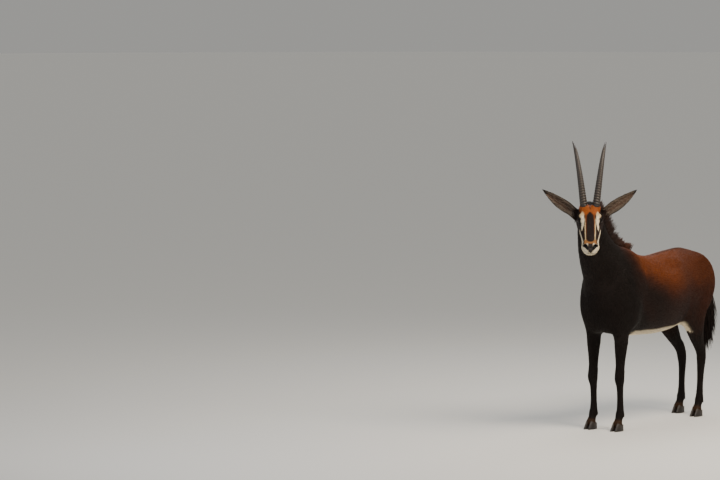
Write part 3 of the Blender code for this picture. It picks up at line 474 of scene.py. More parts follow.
# ---------------------------------------------------------------- flesh
class Tube:
    """Flesh round a bent line, with a different roundness above and below its widest line."""

    def __init__(self, rows, side, blend, count=44, axes=None):
        rows = np.asarray(rows, float)
        if rows.shape[1] == 6:
            rows = np.hstack([rows, np.full((len(rows), 2), 2.0)])
        side = np.broadcast_to(np.asarray(side, float), (len(rows), 3))
        rows = along_curve(np.hstack([rows, side]), count)
        self.centre = rows[:, :3]
        side = rows[:, 8:]
        if axes is not None:
            self.centre = self.centre @ axes[:3, :3].T + axes[:3, 3]
            side = side @ axes[:3, :3].T
        self.centre = self.centre + SHIFT
        self.ahead = unit(np.gradient(self.centre, axis=0))
        self.side = unit(side - (side * self.ahead).sum(1, keepdims=True) * self.ahead)
        self.up = np.cross(self.ahead, self.side)
        self.size = rows[:, 3:6]
        self.power = rows[:, 6:8]
        self.blend = blend
        self.pitch = np.linalg.norm(np.diff(self.centre, axis=0), axis=1).mean()
        self.length = self.pitch * (len(self.centre) - 1)
        reach = self.size.max() + blend
        self.low = self.centre.min(0) - reach
        self.high = self.centre.max(0) + reach

    def section(self, points):
        """Where each point lies: its station, a reader of the tables there, and its offsets."""
        last = len(self.centre) - 1
        near = ((self.centre**2).sum(1) - 2 * points @ self.centre.T).argmin(1)
        slide = ((points - self.centre[near]) * self.ahead[near]).sum(1) / self.pitch
        at = np.clip(near + np.clip(slide, -1, 1), 0, last)
        low = np.minimum(at.astype(int), last - 1)
        share = (at - low)[:, None]

        def mixed(rows):
            return rows[low] * (1 - share) + rows[low + 1] * share

        offset = points - mixed(self.centre)
        x = (offset * mixed(self.side)).sum(1)
        y = (offset * mixed(self.up)).sum(1)
        past = np.where((at <= 0) | (at >= last), (offset * mixed(self.ahead)).sum(1), 0)
        return at, mixed, x, y, past

    def distance(self, points):
        """Signed distance to the flesh, near enough true close to it."""
        _, mixed, x, y, past = self.section(points)
        size = mixed(self.size)
        power = mixed(self.power)
        half = np.where(y > 0, size[:, 1], size[:, 2])
        n = np.where(y > 0, power[:, 0], power[:, 1])
        across = np.abs(x) / size[:, 0] + 1e-9
        upward = np.abs(y) / half + 1e-9
        least = size.min(1)
        beyond = past / least
        ring = (across**n + upward**n) ** (1 / n)
        slope = ring ** (1 - n) * np.hypot(across ** (n - 1) / size[:, 0], upward ** (n - 1) / half)
        full = np.hypot(ring, beyond)
        slope = np.hypot(ring * slope, beyond / least) / full
        return (full - 1) / np.maximum(slope, 1e-6)

    def unrolled(self, points):
        """Metres along the line, the turn round it from its upper side, and the way along it."""
        at, mixed, x, y, past = self.section(points)
        return at * self.pitch + past, np.arctan2(x, y), mixed(self.ahead)

    def loft(self, bm, turns=24):
        """The tube as a closed loft with rounded ends."""
        last = len(self.centre) - 1
        ends = [math.radians(v) for v in (78, 55, 30)]
        places = [(0, v) for v in ends] + [(k, 0) for k in range(last + 1)]
        places += [(last, v) for v in reversed(ends)]
        turn = np.linspace(0, 2 * math.pi, turns, endpoint=False)
        wide = np.cos(turn)
        high = np.sin(turn)
        rings = []
        for k, v in places:
            half = np.where(high > 0, self.size[k, 1], self.size[k, 2])
            n = np.where(high > 0, self.power[k, 0], self.power[k, 1])
            reach = (np.abs(wide) ** n + np.abs(high) ** n) ** (-1 / n) * math.cos(v)
            past = self.size[k].min() * math.sin(v) * (-1 if k == 0 else 1)
            ring = (self.centre[k] + past * self.ahead[k]
                    + (self.size[k, 0] * reach * wide)[:, None] * self.side[k]
                    + (half * reach * high)[:, None] * self.up[k])
            rings.append(ring)
        add_loft(bm, rings)


class Mass:
    """A muscle or a bone under the skin: an ellipsoid."""

    def __init__(self, at, half, turn, blend, axes=None):
        self.turn = np.array(Euler([math.radians(v) for v in turn]).to_matrix())
        self.at = np.asarray(at, float)
        if axes is not None:
            self.turn = axes[:3, :3] @ self.turn
            self.at = placed(at)
        self.at = self.at + SHIFT
        self.half = np.asarray(half, float)
        self.blend = blend
        reach = self.half.max() + blend
        self.low = self.at - reach
        self.high = self.at + reach

    def distance(self, points):
        """Signed distance to the flesh, near enough true close to it."""
        offset = (points - self.at) @ self.turn
        ring = np.sqrt(((offset / self.half) ** 2).sum(1)) + 1e-9
        slope = np.sqrt(((offset / self.half**2) ** 2).sum(1)) / ring
        return (ring - 1) / np.maximum(slope, 1e-6)

    def loft(self, bm):
        """The mass as a closed ball."""
        turn = Matrix(self.turn.tolist()).to_quaternion()
        place = Matrix.LocRotScale(Vector(self.at), turn, Vector(self.half))
        bmesh.ops.create_uvsphere(bm, u_segments=18, v_segments=12, radius=1, matrix=place)


def trunk_tube():
    """Chest, barrel and rump."""
    rows = []
    for y, top, bottom, half, above, below in TRUNK:
        middle = bottom + TRUNK_MIDDLE * (top - bottom)
        rows.append((0, y, middle, half, top - middle, middle - bottom, above, below))
    return Tube(rows, (-1, 0, 0), blend=0.06, count=56)


def neck_tube():
    """Neck, turning toward the head's side as it rises."""
    turn = np.linspace(0, 1, len(NECK)) ** 1.5 * math.radians(HEAD_YAW)
    side = np.stack([-np.cos(turn), -np.sin(turn), 0 * turn], axis=1)
    return Tube(NECK, side, blend=0.10)


def head_tube():
    """Skull and muzzle."""
    rows = [(along, 0, line, half, up, down, above, below)
            for along, line, half, up, down, above, below in HEAD]
    return Tube(rows, (0, 1, 0), blend=0.045, axes=HEAD_AXES)


def step_share(heights):
    """How much of a leg's step each height takes: none at the body, all of it low down."""
    return np.clip((0.95 - heights) / 0.60, 0, 1)


def leg_rows(name):
    """Stations of one leg, with its foot set forward or back."""
    rows = np.array(FRONT_LEG if "front" in name else HIND_LEG)
    rows[:, 1] += STEP[name] * step_share(rows[:, 2])
    if "right" in name:
        rows[:, 0] *= -1
    return rows


def body_tubes():
    """The tubes that the flesh is made of, by name."""
    tubes = {"trunk": trunk_tube(), "neck": neck_tube(), "head": head_tube()}
    for name in STEP:
        tubes["leg_" + name] = Tube(leg_rows(name), (1, 0, 0), blend=0.06, count=56)
    tubes["tail"] = Tube(TAIL, (1, 0, 0), blend=0.02, count=24)
    return tubes


def body_masses():
    """The muscles and bones of both sides."""
    masses = []
    for sign in (1, -1):
        for at, half, turn, blend in MASSES:
            mirrored = (turn[0], turn[1] * sign, turn[2] * sign)
            masses.append(Mass((at[0] * sign, at[1], at[2]), half, mirrored, blend))
        for at, half, turn, blend in HEAD_MASSES:
            mirrored = (turn[0] * sign, turn[1], turn[2] * sign)
            masses.append(Mass((at[0], at[1] * sign, at[2]), half, mirrored, blend, HEAD_AXES))
    return masses


TUBES = body_tubes()
SHAPES = list(TUBES.values()) + body_masses()


def flesh_distance(points):
    """Signed distance to all the shapes together, softened where they meet."""
    reach = 0.03
    total = np.full(len(points), 1.0)
    for shape in SHAPES:
        near = ((points > shape.low - reach) & (points < shape.high + reach)).all(1)
        if near.any():
            own = shape.distance(points[near])
            was = total[near]
            soft = np.maximum(shape.blend - np.abs(was - own), 0) / shape.blend
            total[near] = np.minimum(was, own) - soft**2 * shape.blend / 4
    return total


def depth_at(points):
    """How deep the skin lies in the coat: least on the face and the lower legs."""
    head = ease((0.05 - TUBES["head"].distance(points)) / 0.05) * ease(in_head(points)[:, 0] / 0.08)
    leg = ease((0.70 - points[:, 2]) / 0.12)
    thin = np.maximum(head, leg)
    return COAT_DEPTH + (FACE_DEPTH - COAT_DEPTH) * thin


def drawn_on(points, rounds=4, step=0.0015, most=0.02):
    """The points moved on to the skin's surface."""
    points = points.copy()
    depth = depth_at(points)
    for _ in range(rounds):
        here = flesh_distance(points)
        slope = [flesh_distance(points + axis) - here for axis in np.eye(3) * step]
        slope = np.stack(slope, axis=1) / step
        move = (here + depth)[:, None] * slope / np.maximum((slope**2).sum(1, keepdims=True), 0.25)
        size = np.linalg.norm(move, axis=1, keepdims=True)
        points -= move * np.minimum(1, most / np.maximum(size, 1e-9))
    return points


# ---------------------------------------------------------------- meshes
def add_loft(bm, rings):
    """A closed skin through rings of equal count, with flat ends."""
    rows = [[bm.verts.new(point) for point in ring] for ring in rings]
    count = len(rows[0])
    for near, far in zip(rows, rows[1:]):
        for i in range(count):
            j = (i + 1) % count
            bm.faces.new((near[i], near[j], far[j], far[i]))
    bm.faces.new(list(reversed(rows[0])))
    bm.faces.new(rows[-1])


def mesh_object(name, bm, smooth=True):
    """The mesh as an object in the scene, with its faces outward."""
    bmesh.ops.recalc_face_normals(bm, faces=bm.faces)
    mesh = bpy.data.meshes.new(name)
    bm.to_mesh(mesh)
    bm.free()
    mesh.polygons.foreach_set("use_smooth", [smooth] * len(mesh.polygons))
    thing = bpy.data.objects.new(name, mesh)
    bpy.context.scene.collection.objects.link(thing)
    return thing


def values_of(items, field, wide=3, kind=float):
    """One field of every item of a mesh, one row for each."""
    values = np.empty(len(items) * wide, kind)
    items.foreach_get(field, values)
    return values.reshape(-1, wide) if wide > 1 else values


def points_of(thing):
    """The vertices of an object's mesh."""
    return values_of(thing.data.vertices, "co")


def normals_of(thing):
    """The vertex normals of an object's mesh."""
    return values_of(thing.data.vertices, "normal")


def set_points(thing, points):
    """Put the vertices of an object's mesh in new places."""
    thing.data.vertices.foreach_set("co", np.asarray(points, float).ravel())
    thing.data.update()


def make_final(thing):
    """The object's modifiers made final."""
    graph = bpy.context.evaluated_depsgraph_get()
    mesh = bpy.data.meshes.new_from_object(thing.evaluated_get(graph))
    thing.modifiers.clear()
    old = thing.data
    thing.data = mesh
    bpy.data.meshes.remove(old)


def set_values(thing, name, kind, values):
    """A value for every vertex, kept under a name: FLOAT, FLOAT_VECTOR or FLOAT_COLOR."""
    mesh = thing.data
    if name in mesh.attributes:
        mesh.attributes.remove(mesh.attributes[name])
    field = {"FLOAT": "value", "FLOAT_VECTOR": "vector", "FLOAT_COLOR": "color"}[kind]
    values = np.asarray(values, np.float32)
    if kind == "FLOAT_COLOR":
        values = np.hstack([values, np.ones((len(values), 1), np.float32)])
    mesh.attributes.new(name, kind, "POINT").data.foreach_set(field, values.ravel())


def refine(thing, wanted):
    """Every face whose middle is wanted is cut in four, and its new points drawn on."""
    bm = bmesh.new()
    bm.from_mesh(thing.data)
    bm.faces.ensure_lookup_table()
    middles = np.array([face.calc_center_median() for face in bm.faces])
    chosen = wanted(middles)
    edges = {edge for face, pick in zip(bm.faces, chosen) if pick for edge in face.edges}
    edges = sorted(edges, key=lambda edge: edge.index)
    bmesh.ops.subdivide_edges(bm, edges=edges, cuts=1, use_grid_fill=True, use_single_edge=True)
    bm.to_mesh(thing.data)
    bm.free()
    points = points_of(thing)
    near = wanted(points)
    points[near] = drawn_on(points[near], rounds=2)
    set_points(thing, points)


def spread_smooth(thing, points, where, rounds):
    """Points eased toward the middle of their neighbours, as much as where says."""
    a, b = values_of(thing.data.edges, "vertices", 2, int).T
    count = np.bincount(np.r_[a, b], minlength=len(points))[:, None]
    for _ in range(rounds):
        total = np.zeros_like(points)
        np.add.at(total, a, points[b])
        np.add.at(total, b, points[a])
        points = points + where[:, None] * (total / np.maximum(count, 1) - points) * 0.5
    return points


# ---------------------------------------------------------------- the skin's shape
def on_face(points):
    """The face, where the markings are sharp."""
    q = in_head(points)
    return (q[:, 0] > 0.03) & (np.abs(q[:, 1]) < 0.12) & (q[:, 2] > -0.13) & (q[:, 0] < 0.5)


def on_fine_parts(points):
    """The head, the tail and the lower legs."""
    q = in_head(points)
    head = (q[:, 0] > -0.09) & (np.abs(q[:, 1]) < 0.12) & (q[:, 2] > -0.16) & (q[:, 0] < 0.5)
    tail = (points[:, 1] > 0.775) & (points[:, 2] > 0.5)
    return head | tail | (points[:, 2] < 0.46)


def near_openings(points):
    """Round the eyes, the nostrils and the mouth."""
    q = in_half_head(points)
    eye = np.linalg.norm(q - EYE_AT, axis=1) < 0.036
    nose = np.linalg.norm(q - NOSTRIL_AT, axis=1) < 0.026
    return eye | nose | (stroke_distance(q, MOUTH) < 0.007)


def near_lids(points):
    """The edges of the lids and the nostrils."""
    q = in_half_head(points)
    x, y, far, _, turn = eye_place(q)
    ring = opening(x, y)
    lid = (turn < 1.3) & (ring > 0.74) & (ring < 1.40) & (far < 0.032)
    nose = np.linalg.norm(q - NOSTRIL_AT, axis=1) < 0.019
    return lid | nose


def stroke_distance(q, stroke):
    """Distance from a stroke's edge, in the head's axes, with its sides alike."""
    best = np.full(len(q), 1.0)
    rows = np.array(stroke)
    for a, b in zip(rows, rows[1:]):
        way = b[:3] - a[:3]
        t = np.clip((q - a[:3]) @ way / (way @ way), 0, 1)
        gap = np.linalg.norm(q - a[:3] - t[:, None] * way, axis=1) - (a[3] + t * (b[3] - a[3]))
        best = np.minimum(best, gap)
    return best


def blobs(points, rows):
    """The sum of soft swellings and hollows at the points."""
    total = np.zeros(len(points))
    for at, reach, amount in rows:
        total += amount * np.exp(-(((points - at) / reach) ** 2).sum(1))
    return total


def eye_axes():
    """Along the eye's opening, up across it and out of it, in the head's axes, left side."""
    out = unit(np.array(EYE_LOOKS))
    slant = math.radians(EYE_SLANT)
    along = np.array((math.cos(slant), 0, -math.sin(slant)))
    along = unit(along - (along @ out) * out)
    return along, np.cross(out, along) * -1, out


def eye_place(q):
    """Each point over the eye: along and up round the eyeball, its distance, ray and turn."""
    along, up, out = eye_axes()
    offset = q - np.array(EYE_AT)
    far = np.linalg.norm(offset, axis=1)
    ray = offset / np.maximum(far, 1e-9)[:, None]
    turn = np.arccos(np.clip(ray @ out, -1, 1))
    reach = turn * EYE_RADIUS / np.maximum(np.sin(turn), 1e-6)
    return ray @ along * reach, ray @ up * reach, far, ray, turn


def opening(x, y):
    """Below 1 inside the eye's opening, 1 at the lids' edges."""
    tall = np.where(y > 0, LID_UP, LID_DOWN)
    return ((np.abs(x) / LID_HALF) ** 1.5 + (np.abs(y) / tall) ** 1.5) ** (1 / 1.5)


def with_lids(q):
    """Points round the eye laid over the eyeball as lids, and sunk inside their opening."""
    x, y, far, ray, turn = eye_place(q)
    ring = opening(x, y)
    sunk = EYE_RADIUS - 0.006
    edge = EYE_RADIUS + LID_THICK
    at_edge = turn / np.maximum(ring, 1e-6)
    lid = np.where(ring < 1.0, sunk + (edge - sunk) * ease((ring - 0.90) / 0.10), edge)
    blend = ease((turn - at_edge - 0.10) / np.maximum(1.42 - at_edge - 0.10, 0.05))
    crease = -0.0016 * np.exp(-(((ring - 1.55) / 0.13) ** 2)) * ease(y / 0.006)
    target = lid * (1 - blend) + far * blend + crease
    use = (turn < 1.42) & (far < 0.06)
    return np.array(EYE_AT) + ray * np.where(use, target, far)[:, None]


def nostril_ring(q):
    """Below 1 inside the nostril, which slants up and out like a comma."""
    offset = q - np.array(NOSTRIL_AT)
    long_way = unit(np.array((-0.45, 0.80, 0.10)))
    cross_way = unit(np.cross((0.6, 0.25, 0.75), long_way))
    a = offset @ long_way / NOSTRIL_HALF[0]
    b = offset @ cross_way / NOSTRIL_HALF[1] + 0.35 * a * a
    return np.sqrt(a * a + b * b)


def face_relief(q):
    """How far the skin of the head stands out or in, for its folds and openings."""
    out = blobs(q, HEAD_RELIEF)
    mouth = stroke_distance(q, MOUTH)
    out -= 0.0050 * np.exp(-((mouth / 0.0030) ** 2))
    out += 0.0012 * np.exp(-(((mouth - 0.007) / 0.004) ** 2))
    out -= 0.0026 * np.exp(-((stroke_distance(q, PHILTRUM) / 0.0024) ** 2))
    near = np.linalg.norm(q - NOSTRIL_AT, axis=1) < 0.03
    ring = nostril_ring(q)
    out += np.where(near, 0.0022 * np.exp(-(((ring - 1.35) / 0.32) ** 2)), 0)
    out -= np.where(near, 0.0110 * (1 - ease((ring - 0.35) / 0.70)), 0)
    return out


def ear_axes(side):
    """Along the ear, up across it and forward out of its bowl."""
    yaw = math.radians(HEAD_YAW)
    rise = math.radians(EAR_RISE)
    out = np.array((math.cos(yaw), math.sin(yaw), 0.0)) * side
    front = np.array((math.sin(yaw), -math.cos(yaw), 0.0))
    up = np.array((0, 0, 1.0))
    along = unit(out * math.cos(rise) + up * math.sin(rise) - front * 0.10)
    bowl = unit(front - (front @ along) * along + 0.10 * up)
    across = np.cross(bowl, along) * side
    return along, across, bowl


def ear_root(side):
    """Where the ear's middle line starts, inside the head."""
    return placed((EAR_AT[0], EAR_AT[1] * side, EAR_AT[2])) + SHIFT


def ear_half(t):
    """Half the ear's breadth: a narrow stalk, broad before the middle, drawn to a point."""
    stalk = 0.66 + 0.34 * ease((t - 0.08) / 0.30)
    leaf = np.maximum(1 - np.maximum((t - 0.42) / 0.585, 0) ** 1.8, 0.0) * 0.96 + 0.04
    return (EAR_HALF - 0.0015) * stalk * leaf


def ear_place(points, side):
    """Shares along one ear, and across it from its middle line."""
    along, across, _ = ear_axes(side)
    offset = points - ear_root(side)
    t = offset @ along / EAR_LENGTH
    return t, (offset @ across + EAR_SAG) / ear_half(np.clip(t, 0, 1))


def ear_object(side):
    """One ear as a closed leaf: a deep funnel at its foot, a shallow bowl further out."""
    along, across, bowl = ear_axes(side)
    root = ear_root(side)
    steps = 44
    width_steps = 22
    bm = bmesh.new()
    rings = []
    for i in range(steps + 1):
        t = i / steps
        wide = float(ear_half(np.array(t)))
        deep = wide * (0.55 * (1 - 0.35 * t) + 0.40 * (1 - ease((t - 0.10) / 0.30)))
        thick = 0.0034 + 0.009 * (1 - t) ** 4
        sag = -0.012 * math.cos(math.pi / 2 * t) - 0.006 * math.sin(math.pi * t)
        centre = root + along * (EAR_LENGTH * 0.995 * t) + across * sag
        a = np.cos(np.linspace(0, 2 * math.pi, 2 * width_steps, endpoint=False))
        face = np.sign(np.sin(np.linspace(1e-4, 2 * math.pi + 1e-4, 2 * width_steps, endpoint=False)))
        body = thick / 2 * np.sqrt(np.maximum(1 - a * a, 0)) * face
        ridge = 0.0016 * np.cos(a * 11) * (1 - a * a) * (face > 0) * math.sin(math.pi * min(t * 1.1, 1))
        height = deep * (a * a - 0.5) + body + ridge
        lobe = 1 + 0.9 * math.exp(-(((t - 0.05) / 0.14) ** 2))
        reach = wide * np.where(a < 0, a * lobe, a)
        rings.append(centre + across * reach[:, None] + bowl * height[:, None])
    add_loft(bm, rings)
    return mesh_object("ear", bm)


def add_part(thing, part):
    """Join a closed part on to the object, with the surface inside them gone."""
    joint = thing.modifiers.new("join", "BOOLEAN")
    joint.operation = "UNION"
    joint.solver = "EXACT"
    joint.object = part
    make_final(thing)
    bpy.data.objects.remove(part)


def skin_object():
    """The whole skin as one closed surface with its folds, lids and openings."""
    bm = bmesh.new()
    for shape in SHAPES:
        shape.loft(bm)
    skin = mesh_object("skin", bm)
    grain = skin.modifiers.new("grain", "REMESH")
    grain.mode = "VOXEL"
    grain.voxel_size = GRAIN
    for _ in range(2):
        smooth = skin.modifiers.new("ease", "SMOOTH")
        smooth.factor = 0.5
        smooth.iterations = 5
        make_final(skin)
        set_points(skin, drawn_on(points_of(skin)))
    for wanted in (on_fine_parts, on_face, near_openings, near_lids):
        refine(skin, wanted)
    for side in (1, -1):
        add_part(skin, ear_object(side))
    points = points_of(skin)
    apart = flesh_distance(points) + COAT_DEPTH
    foot = np.minimum(np.linalg.norm(points - ear_root(1), axis=1),
                      np.linalg.norm(points - ear_root(-1), axis=1))
    joint = np.exp(-(((apart - 0.001) / 0.009) ** 2)) * ease((0.115 - foot) / 0.03)
    points = spread_smooth(skin, points, joint, 14)
    head = ease((0.02 - TUBES["head"].distance(points)) / 0.01) * (1 - joint) * 0.6
    points = spread_smooth(skin, points, head, 3)
    body = ease((points[:, 2] - 0.60) / 0.10) * ease((TUBES["head"].distance(points) - 0.03) / 0.04)
    body *= (ear_share(points) < 0.01) * (TUBES["tail"].distance(points) > 0.02)
    set_points(skin, spread_smooth(skin, points, body, BODY_EASE))
    shape_skin(skin)
    return skin


def shape_skin(skin):
    """The folds, muscles, lids and openings worked into the skin."""
    points = points_of(skin)
    normals = normals_of(skin)
    body = points - SHIFT
    body[:, 0] = np.abs(body[:, 0])
    for name, step in STEP.items():
        near = TUBES["leg_" + name].distance(points) < 0.02
        body[near, 1] -= step * step_share(body[near, 2])
    out = blobs(body, BODY_RELIEF)
    side = side_of(points)
    q = in_half_head(points)
    face = (q[:, 0] > -0.08) & (q[:, 1] < 0.13) & (q[:, 2] > -0.14) & (q[:, 0] < 0.5)
    face &= ear_share(points) < 0.5
    out[face] += face_relief(q[face])
    points = points + normals * out[:, None]
    q = with_lids(in_half_head(points[face]))
    q[:, 1] *= side[face]
    points[face] = from_head(q)
    set_points(skin, points)


def ear_share(points):
    """1 on the ears, 0 on the head, soft at their feet."""
    apart = flesh_distance(points)
    near = np.zeros(len(points))
    for side in (1, -1):
        along, across, bowl = ear_axes(side)
        offset = points - ear_root(side)
        t = offset @ along / EAR_LENGTH
        inside = (t > 0.05) & (t < 1.1) & (np.abs(offset @ across) < 0.075) & (np.abs(offset @ bowl) < 0.05)
        near[inside] = 1
    return near * ease((apart - 0.002) / 0.008)


# ---------------------------------------------------------------- markings
def rough_noise(points, size, seed):
    """Soft noise from -1 to 1, as coarse as the size."""
    moved = points / size + seed
    return np.array([noise.noise(Vector(row)) for row in moved])


def laid(under, over, share):
    """One colour laid over another."""
    return under + (over - under) * np.clip(share, 0, 1)[:, None]


def below(value, edge, soft):
    """1 well below the edge and 0 well above it."""
    return ease((edge - value) / soft + 0.5)


def body_colours(points, normals):
    """The coat's colours away from the head and the ears, with painted shade low on the flank and over the
    hip.
    """
    p = points - SHIFT
    x, y, z = np.abs(p[:, 0]), p[:, 1], p[:, 2]
    wander = rough_noise(points, 0.085, 3.1) * 0.020 + rough_noise(points, 0.018, 7.7) * 0.006
    colour = np.tile(linear(CHESTNUT), (len(p), 1))
    height = np.clip((z - BELLY_Z) / (WITHERS_Z - BELLY_Z), 0, 1.1)
    # Darker toward the belly, under a line that falls toward the rump: partly the coat's own darker lower
    # flank, partly painted shade from light falling from above.
    edge = np.maximum(1.12 - 0.42 * (y + 0.34), 0.945) + wander
    colour = laid(colour, linear(BROWN), below(z, edge + 0.03, 0.16) * 0.80)
    colour = laid(colour, linear(DARK_BROWN), below(z, edge - 0.04, 0.20) * 0.85)
    colour = laid(colour, linear(BLACK_HAIR), below(z, edge - 0.05, 0.16) * below(y, 0.02, 0.40) * 0.85)
    colour = laid(colour, linear(BROWN), ease((y - 0.20 + wander) / 0.32) * 0.60)
    # Painted shade: a darker band across the hip, fading out toward the line of the back.
    hip = np.exp(-(((y - 0.30) / 0.13) ** 2)) * below(z, 1.12, 0.20)
    colour = laid(colour, linear(DARK_BROWN), hip * 0.45)
    dorsal = below(x, 0.016, 0.026) * (normals[:, 2] > 0.5) * (y < 0.66)
    colour = laid(colour, linear(DARK_BROWN), dorsal * 0.65)
    hind = ease((y - 0.20) / 0.08)
    colour = laid(colour, linear(BLACK_HAIR), below(z + wander, 0.68, 0.30) * hind)
    line = -0.325 + 0.320 * np.maximum(1 - height, 0)**2 + wander * 1.5
    colour = laid(colour, linear(DARK_BROWN), below(y, line + 0.040, 0.190) * 0.9)
    colour = laid(colour, linear(BLACK_HAIR), below(y, line - 0.060, 0.120))
    belly = below(z + wander * 0.5, BELLY_Z + 0.052 + 0.26 * np.maximum(y - 0.16, 0) ** 1.3, 0.014)
    belly *= below(x, 0.150, 0.03) * ease((y + 0.27 + wander) / 0.03) * below(y, 0.46, 0.05)
    thigh = TUBES["leg_hind_left"].distance(points) < 0.0
    thigh |= TUBES["leg_hind_right"].distance(points) < 0.0
    inner = ease((-np.sign(p[:, 0]) * normals[:, 0] - 0.25) / 0.4)
    inner *= ease((z - 0.70 + wander) / 0.06)
    belly *= np.where(thigh, inner, 1)
    colour = laid(colour, linear(WHITE_HAIR), belly * (normals[:, 2] < 0.35) * 0.92)
    off_tail = TUBES["tail"].distance(points) > 0.004
    rump = ease((y - 0.655 + wander) / 0.03) * below(x, 0.034 + wander, 0.035)
    rump *= below(np.abs(z - 0.93), 0.09, 0.12) * off_tail
    colour = laid(colour, linear(WHITE_HAIR), rump * 0.85)
    tail = ~off_tail & (y > 0.70)
    brush = below(z[tail], 0.93, 0.16)
    colour[tail] = laid(np.tile(linear(BROWN), (tail.sum(), 1)), linear(BLACK_HAIR), brush)
    return laid(colour, linear(TAN_HAIR), below(z, 0.075 + wander * 0.5, 0.02) * 0.12)


def head_colours(points):
    """The face: rust brow, black blaze, white streaks, cheeks and chin, black nose."""
    q = in_half_head(points)
    u, v, w = q.T
    fray = rough_noise(points, 0.009, 1.3) * 0.0022

    def painted(colour, code, stroke, soft=0.004, share=1.0):
        return laid(colour, linear(code), below(stroke_distance(q, stroke) + fray, 0, soft) * share)

    colour = np.tile(linear(BLACK_HAIR), (len(q), 1))
    colour = laid(colour, linear(DARK_BROWN), ease((u - 0.03) / 0.05) * 0.8)
    top = ease((w - 0.030) / 0.020)
    brow = below(u + fray * 3, 0.128, 0.022) * ease((u - 0.005) / 0.015) * top * below(v, 0.074, 0.012)
    colour = laid(colour, linear(RUST), brow)
    colour = laid(colour, linear(RUST), top * below(v, 0.034, 0.006) * ease((u - 0.10) / 0.03) * 0.55
                  * below(u, 0.350, 0.02))
    colour = painted(colour, CREAM_HAIR, BROW_SPOT, 0.008)
    colour = painted(colour, WHITE_HAIR, LEAF_STREAK)
    colour = painted(colour, CREAM_HAIR, NOSE_LINE, 0.003)
    colour = painted(colour, WHITE_HAIR, JAW, 0.010)
    colour = painted(colour, WHITE_HAIR, CHEEK_STREAK)
    colour = painted(colour, WHITE_HAIR, LIP_AND_CHIN, 0.008)
    colour = painted(colour, WHITE_HAIR, CHIN, 0.008)
    colour = laid(colour, linear(WHITE_HAIR), ease((u - 0.366 + fray) / 0.010) * ease((v - 0.012) / 0.01))
    band = ease((u - 0.334 + fray) / 0.008) * below(u + fray, 0.374, 0.008) * below(v, 0.041, 0.006)
    colour = laid(colour, linear(TAN_HAIR), band * ease((w - 0.018) / 0.006))
    colour = painted(colour, BLAZE_HAIR, BLAZE, 0.005)
    colour = painted(colour, BLACK_HAIR, [(-0.01, 0, 0.05, 0.004), (0.09, 0, 0.076, 0.005)], 0.012, 0.75)
    colour = painted(colour, DARK_BROWN, TEAR_LINE, 0.005)
    colour = painted(colour, BLACK_HAIR, EYE_NOTCH, 0.004)
    colour = painted(colour, NOSE_GREY, NOSE_PAD, 0.003)
    colour = painted(colour, NOSE_SKIN, NOSE_WING, 0.004)
    hole = nostril_ring(q)
    close = np.linalg.norm(q - NOSTRIL_AT, axis=1) < 0.03
    colour = laid(colour, linear(NOSE_SKIN), below(hole + fray * 40, 1.75, 0.25) * close)
    colour = painted(colour, NOSE_SKIN, [(a, b, c, 0.0030) for a, b, c, _ in MOUTH], 0.002)
    x, y, far, _, _ = eye_place(q)
    rim = below(opening(x, y), 1.42, 0.30) * (far < 0.035)
    return laid(colour, linear(NOSE_SKIN), rim)


def ear_colours(points, normals):
    """Ears: brown behind, a dark rim and tip, bare greyish skin in the bowl."""
    colour = np.tile(linear(BROWN), (len(points), 1))
    for side in (1, -1):
        bowl = ear_axes(side)[2]
        mine = in_head(points)[:, 1] * side > 0
        t, a = ear_place(points, side)
        within = ease((normals @ bowl - 0.05) / 0.25) * below(np.abs(a), 0.74, 0.12)
        within *= ease((t - 0.16) / 0.06) * below(t, 0.86, 0.08)
        own = laid(np.tile(linear(CHESTNUT), (len(points), 1)), linear(BROWN), ease((t + 0.1) / 0.5))
        own = laid(own, linear(BLACK_HAIR), ease((t - 0.78) / 0.12))
        own = laid(own, linear(BLACK_HAIR), ease((normals @ bowl + 0.10) / 0.30) * 0.92)
        own = laid(own, linear(EAR_SKIN), within)
        colour[mine] = own[mine]
    return colour


def bare_share(points):
    """1 where the skin has no hair: the nose, the nostrils, the lids' edges and the mouth."""
    q = in_half_head(points)
    x, y, far, _, _ = eye_place(q)
    bare = below(np.minimum(stroke_distance(q, NOSE_PAD), stroke_distance(q, NOSE_WING)), 0, 0.003)
    close = np.linalg.norm(q - NOSTRIL_AT, axis=1) < 0.03
    bare = np.maximum(bare, below(nostril_ring(q), 1.6, 0.2) * close)
    bare = np.maximum(bare, below(opening(x, y), 1.28, 0.12) * (far < 0.035))
    return np.maximum(bare, below(stroke_distance(q, MOUTH), 0.0040, 0.001))


# ---------------------------------------------------------------- the skin's unwrap and lie
# Where each part of the skin is unrolled to on one square: left, bottom, right, top.
ATLAS = {
    "trunk": (0.005, 0.005, 0.495, 0.655),
    "neck": (0.005, 0.665, 0.300, 0.995),
    "head": (0.505, 0.555, 0.995, 0.995),
    "leg_front_left": (0.505, 0.005, 0.620, 0.545),
    "leg_front_right": (0.630, 0.005, 0.745, 0.545),
    "leg_hind_left": (0.755, 0.005, 0.870, 0.545),
    "leg_hind_right": (0.880, 0.005, 0.995, 0.545),
    "tail": (0.305, 0.665, 0.345, 0.995),
    "ear_left_front": (0.350, 0.665, 0.384, 0.995),
    "ear_left_back": (0.388, 0.665, 0.422, 0.995),
    "ear_right_front": (0.426, 0.665, 0.460, 0.995),
    "ear_right_back": (0.464, 0.665, 0.498, 0.995),
}
# Which way the hair lies along each tube: with its line or against it.
LIE = {"trunk": 1, "neck": -1, "head": -1, "tail": 1}


def smallest(distances):
    """The name of the smallest of several rows of values, one for each column."""
    names = list(distances)
    rows = np.stack([distances[name] for name in names])
    return np.array(names, object)[rows.argmin(0)]


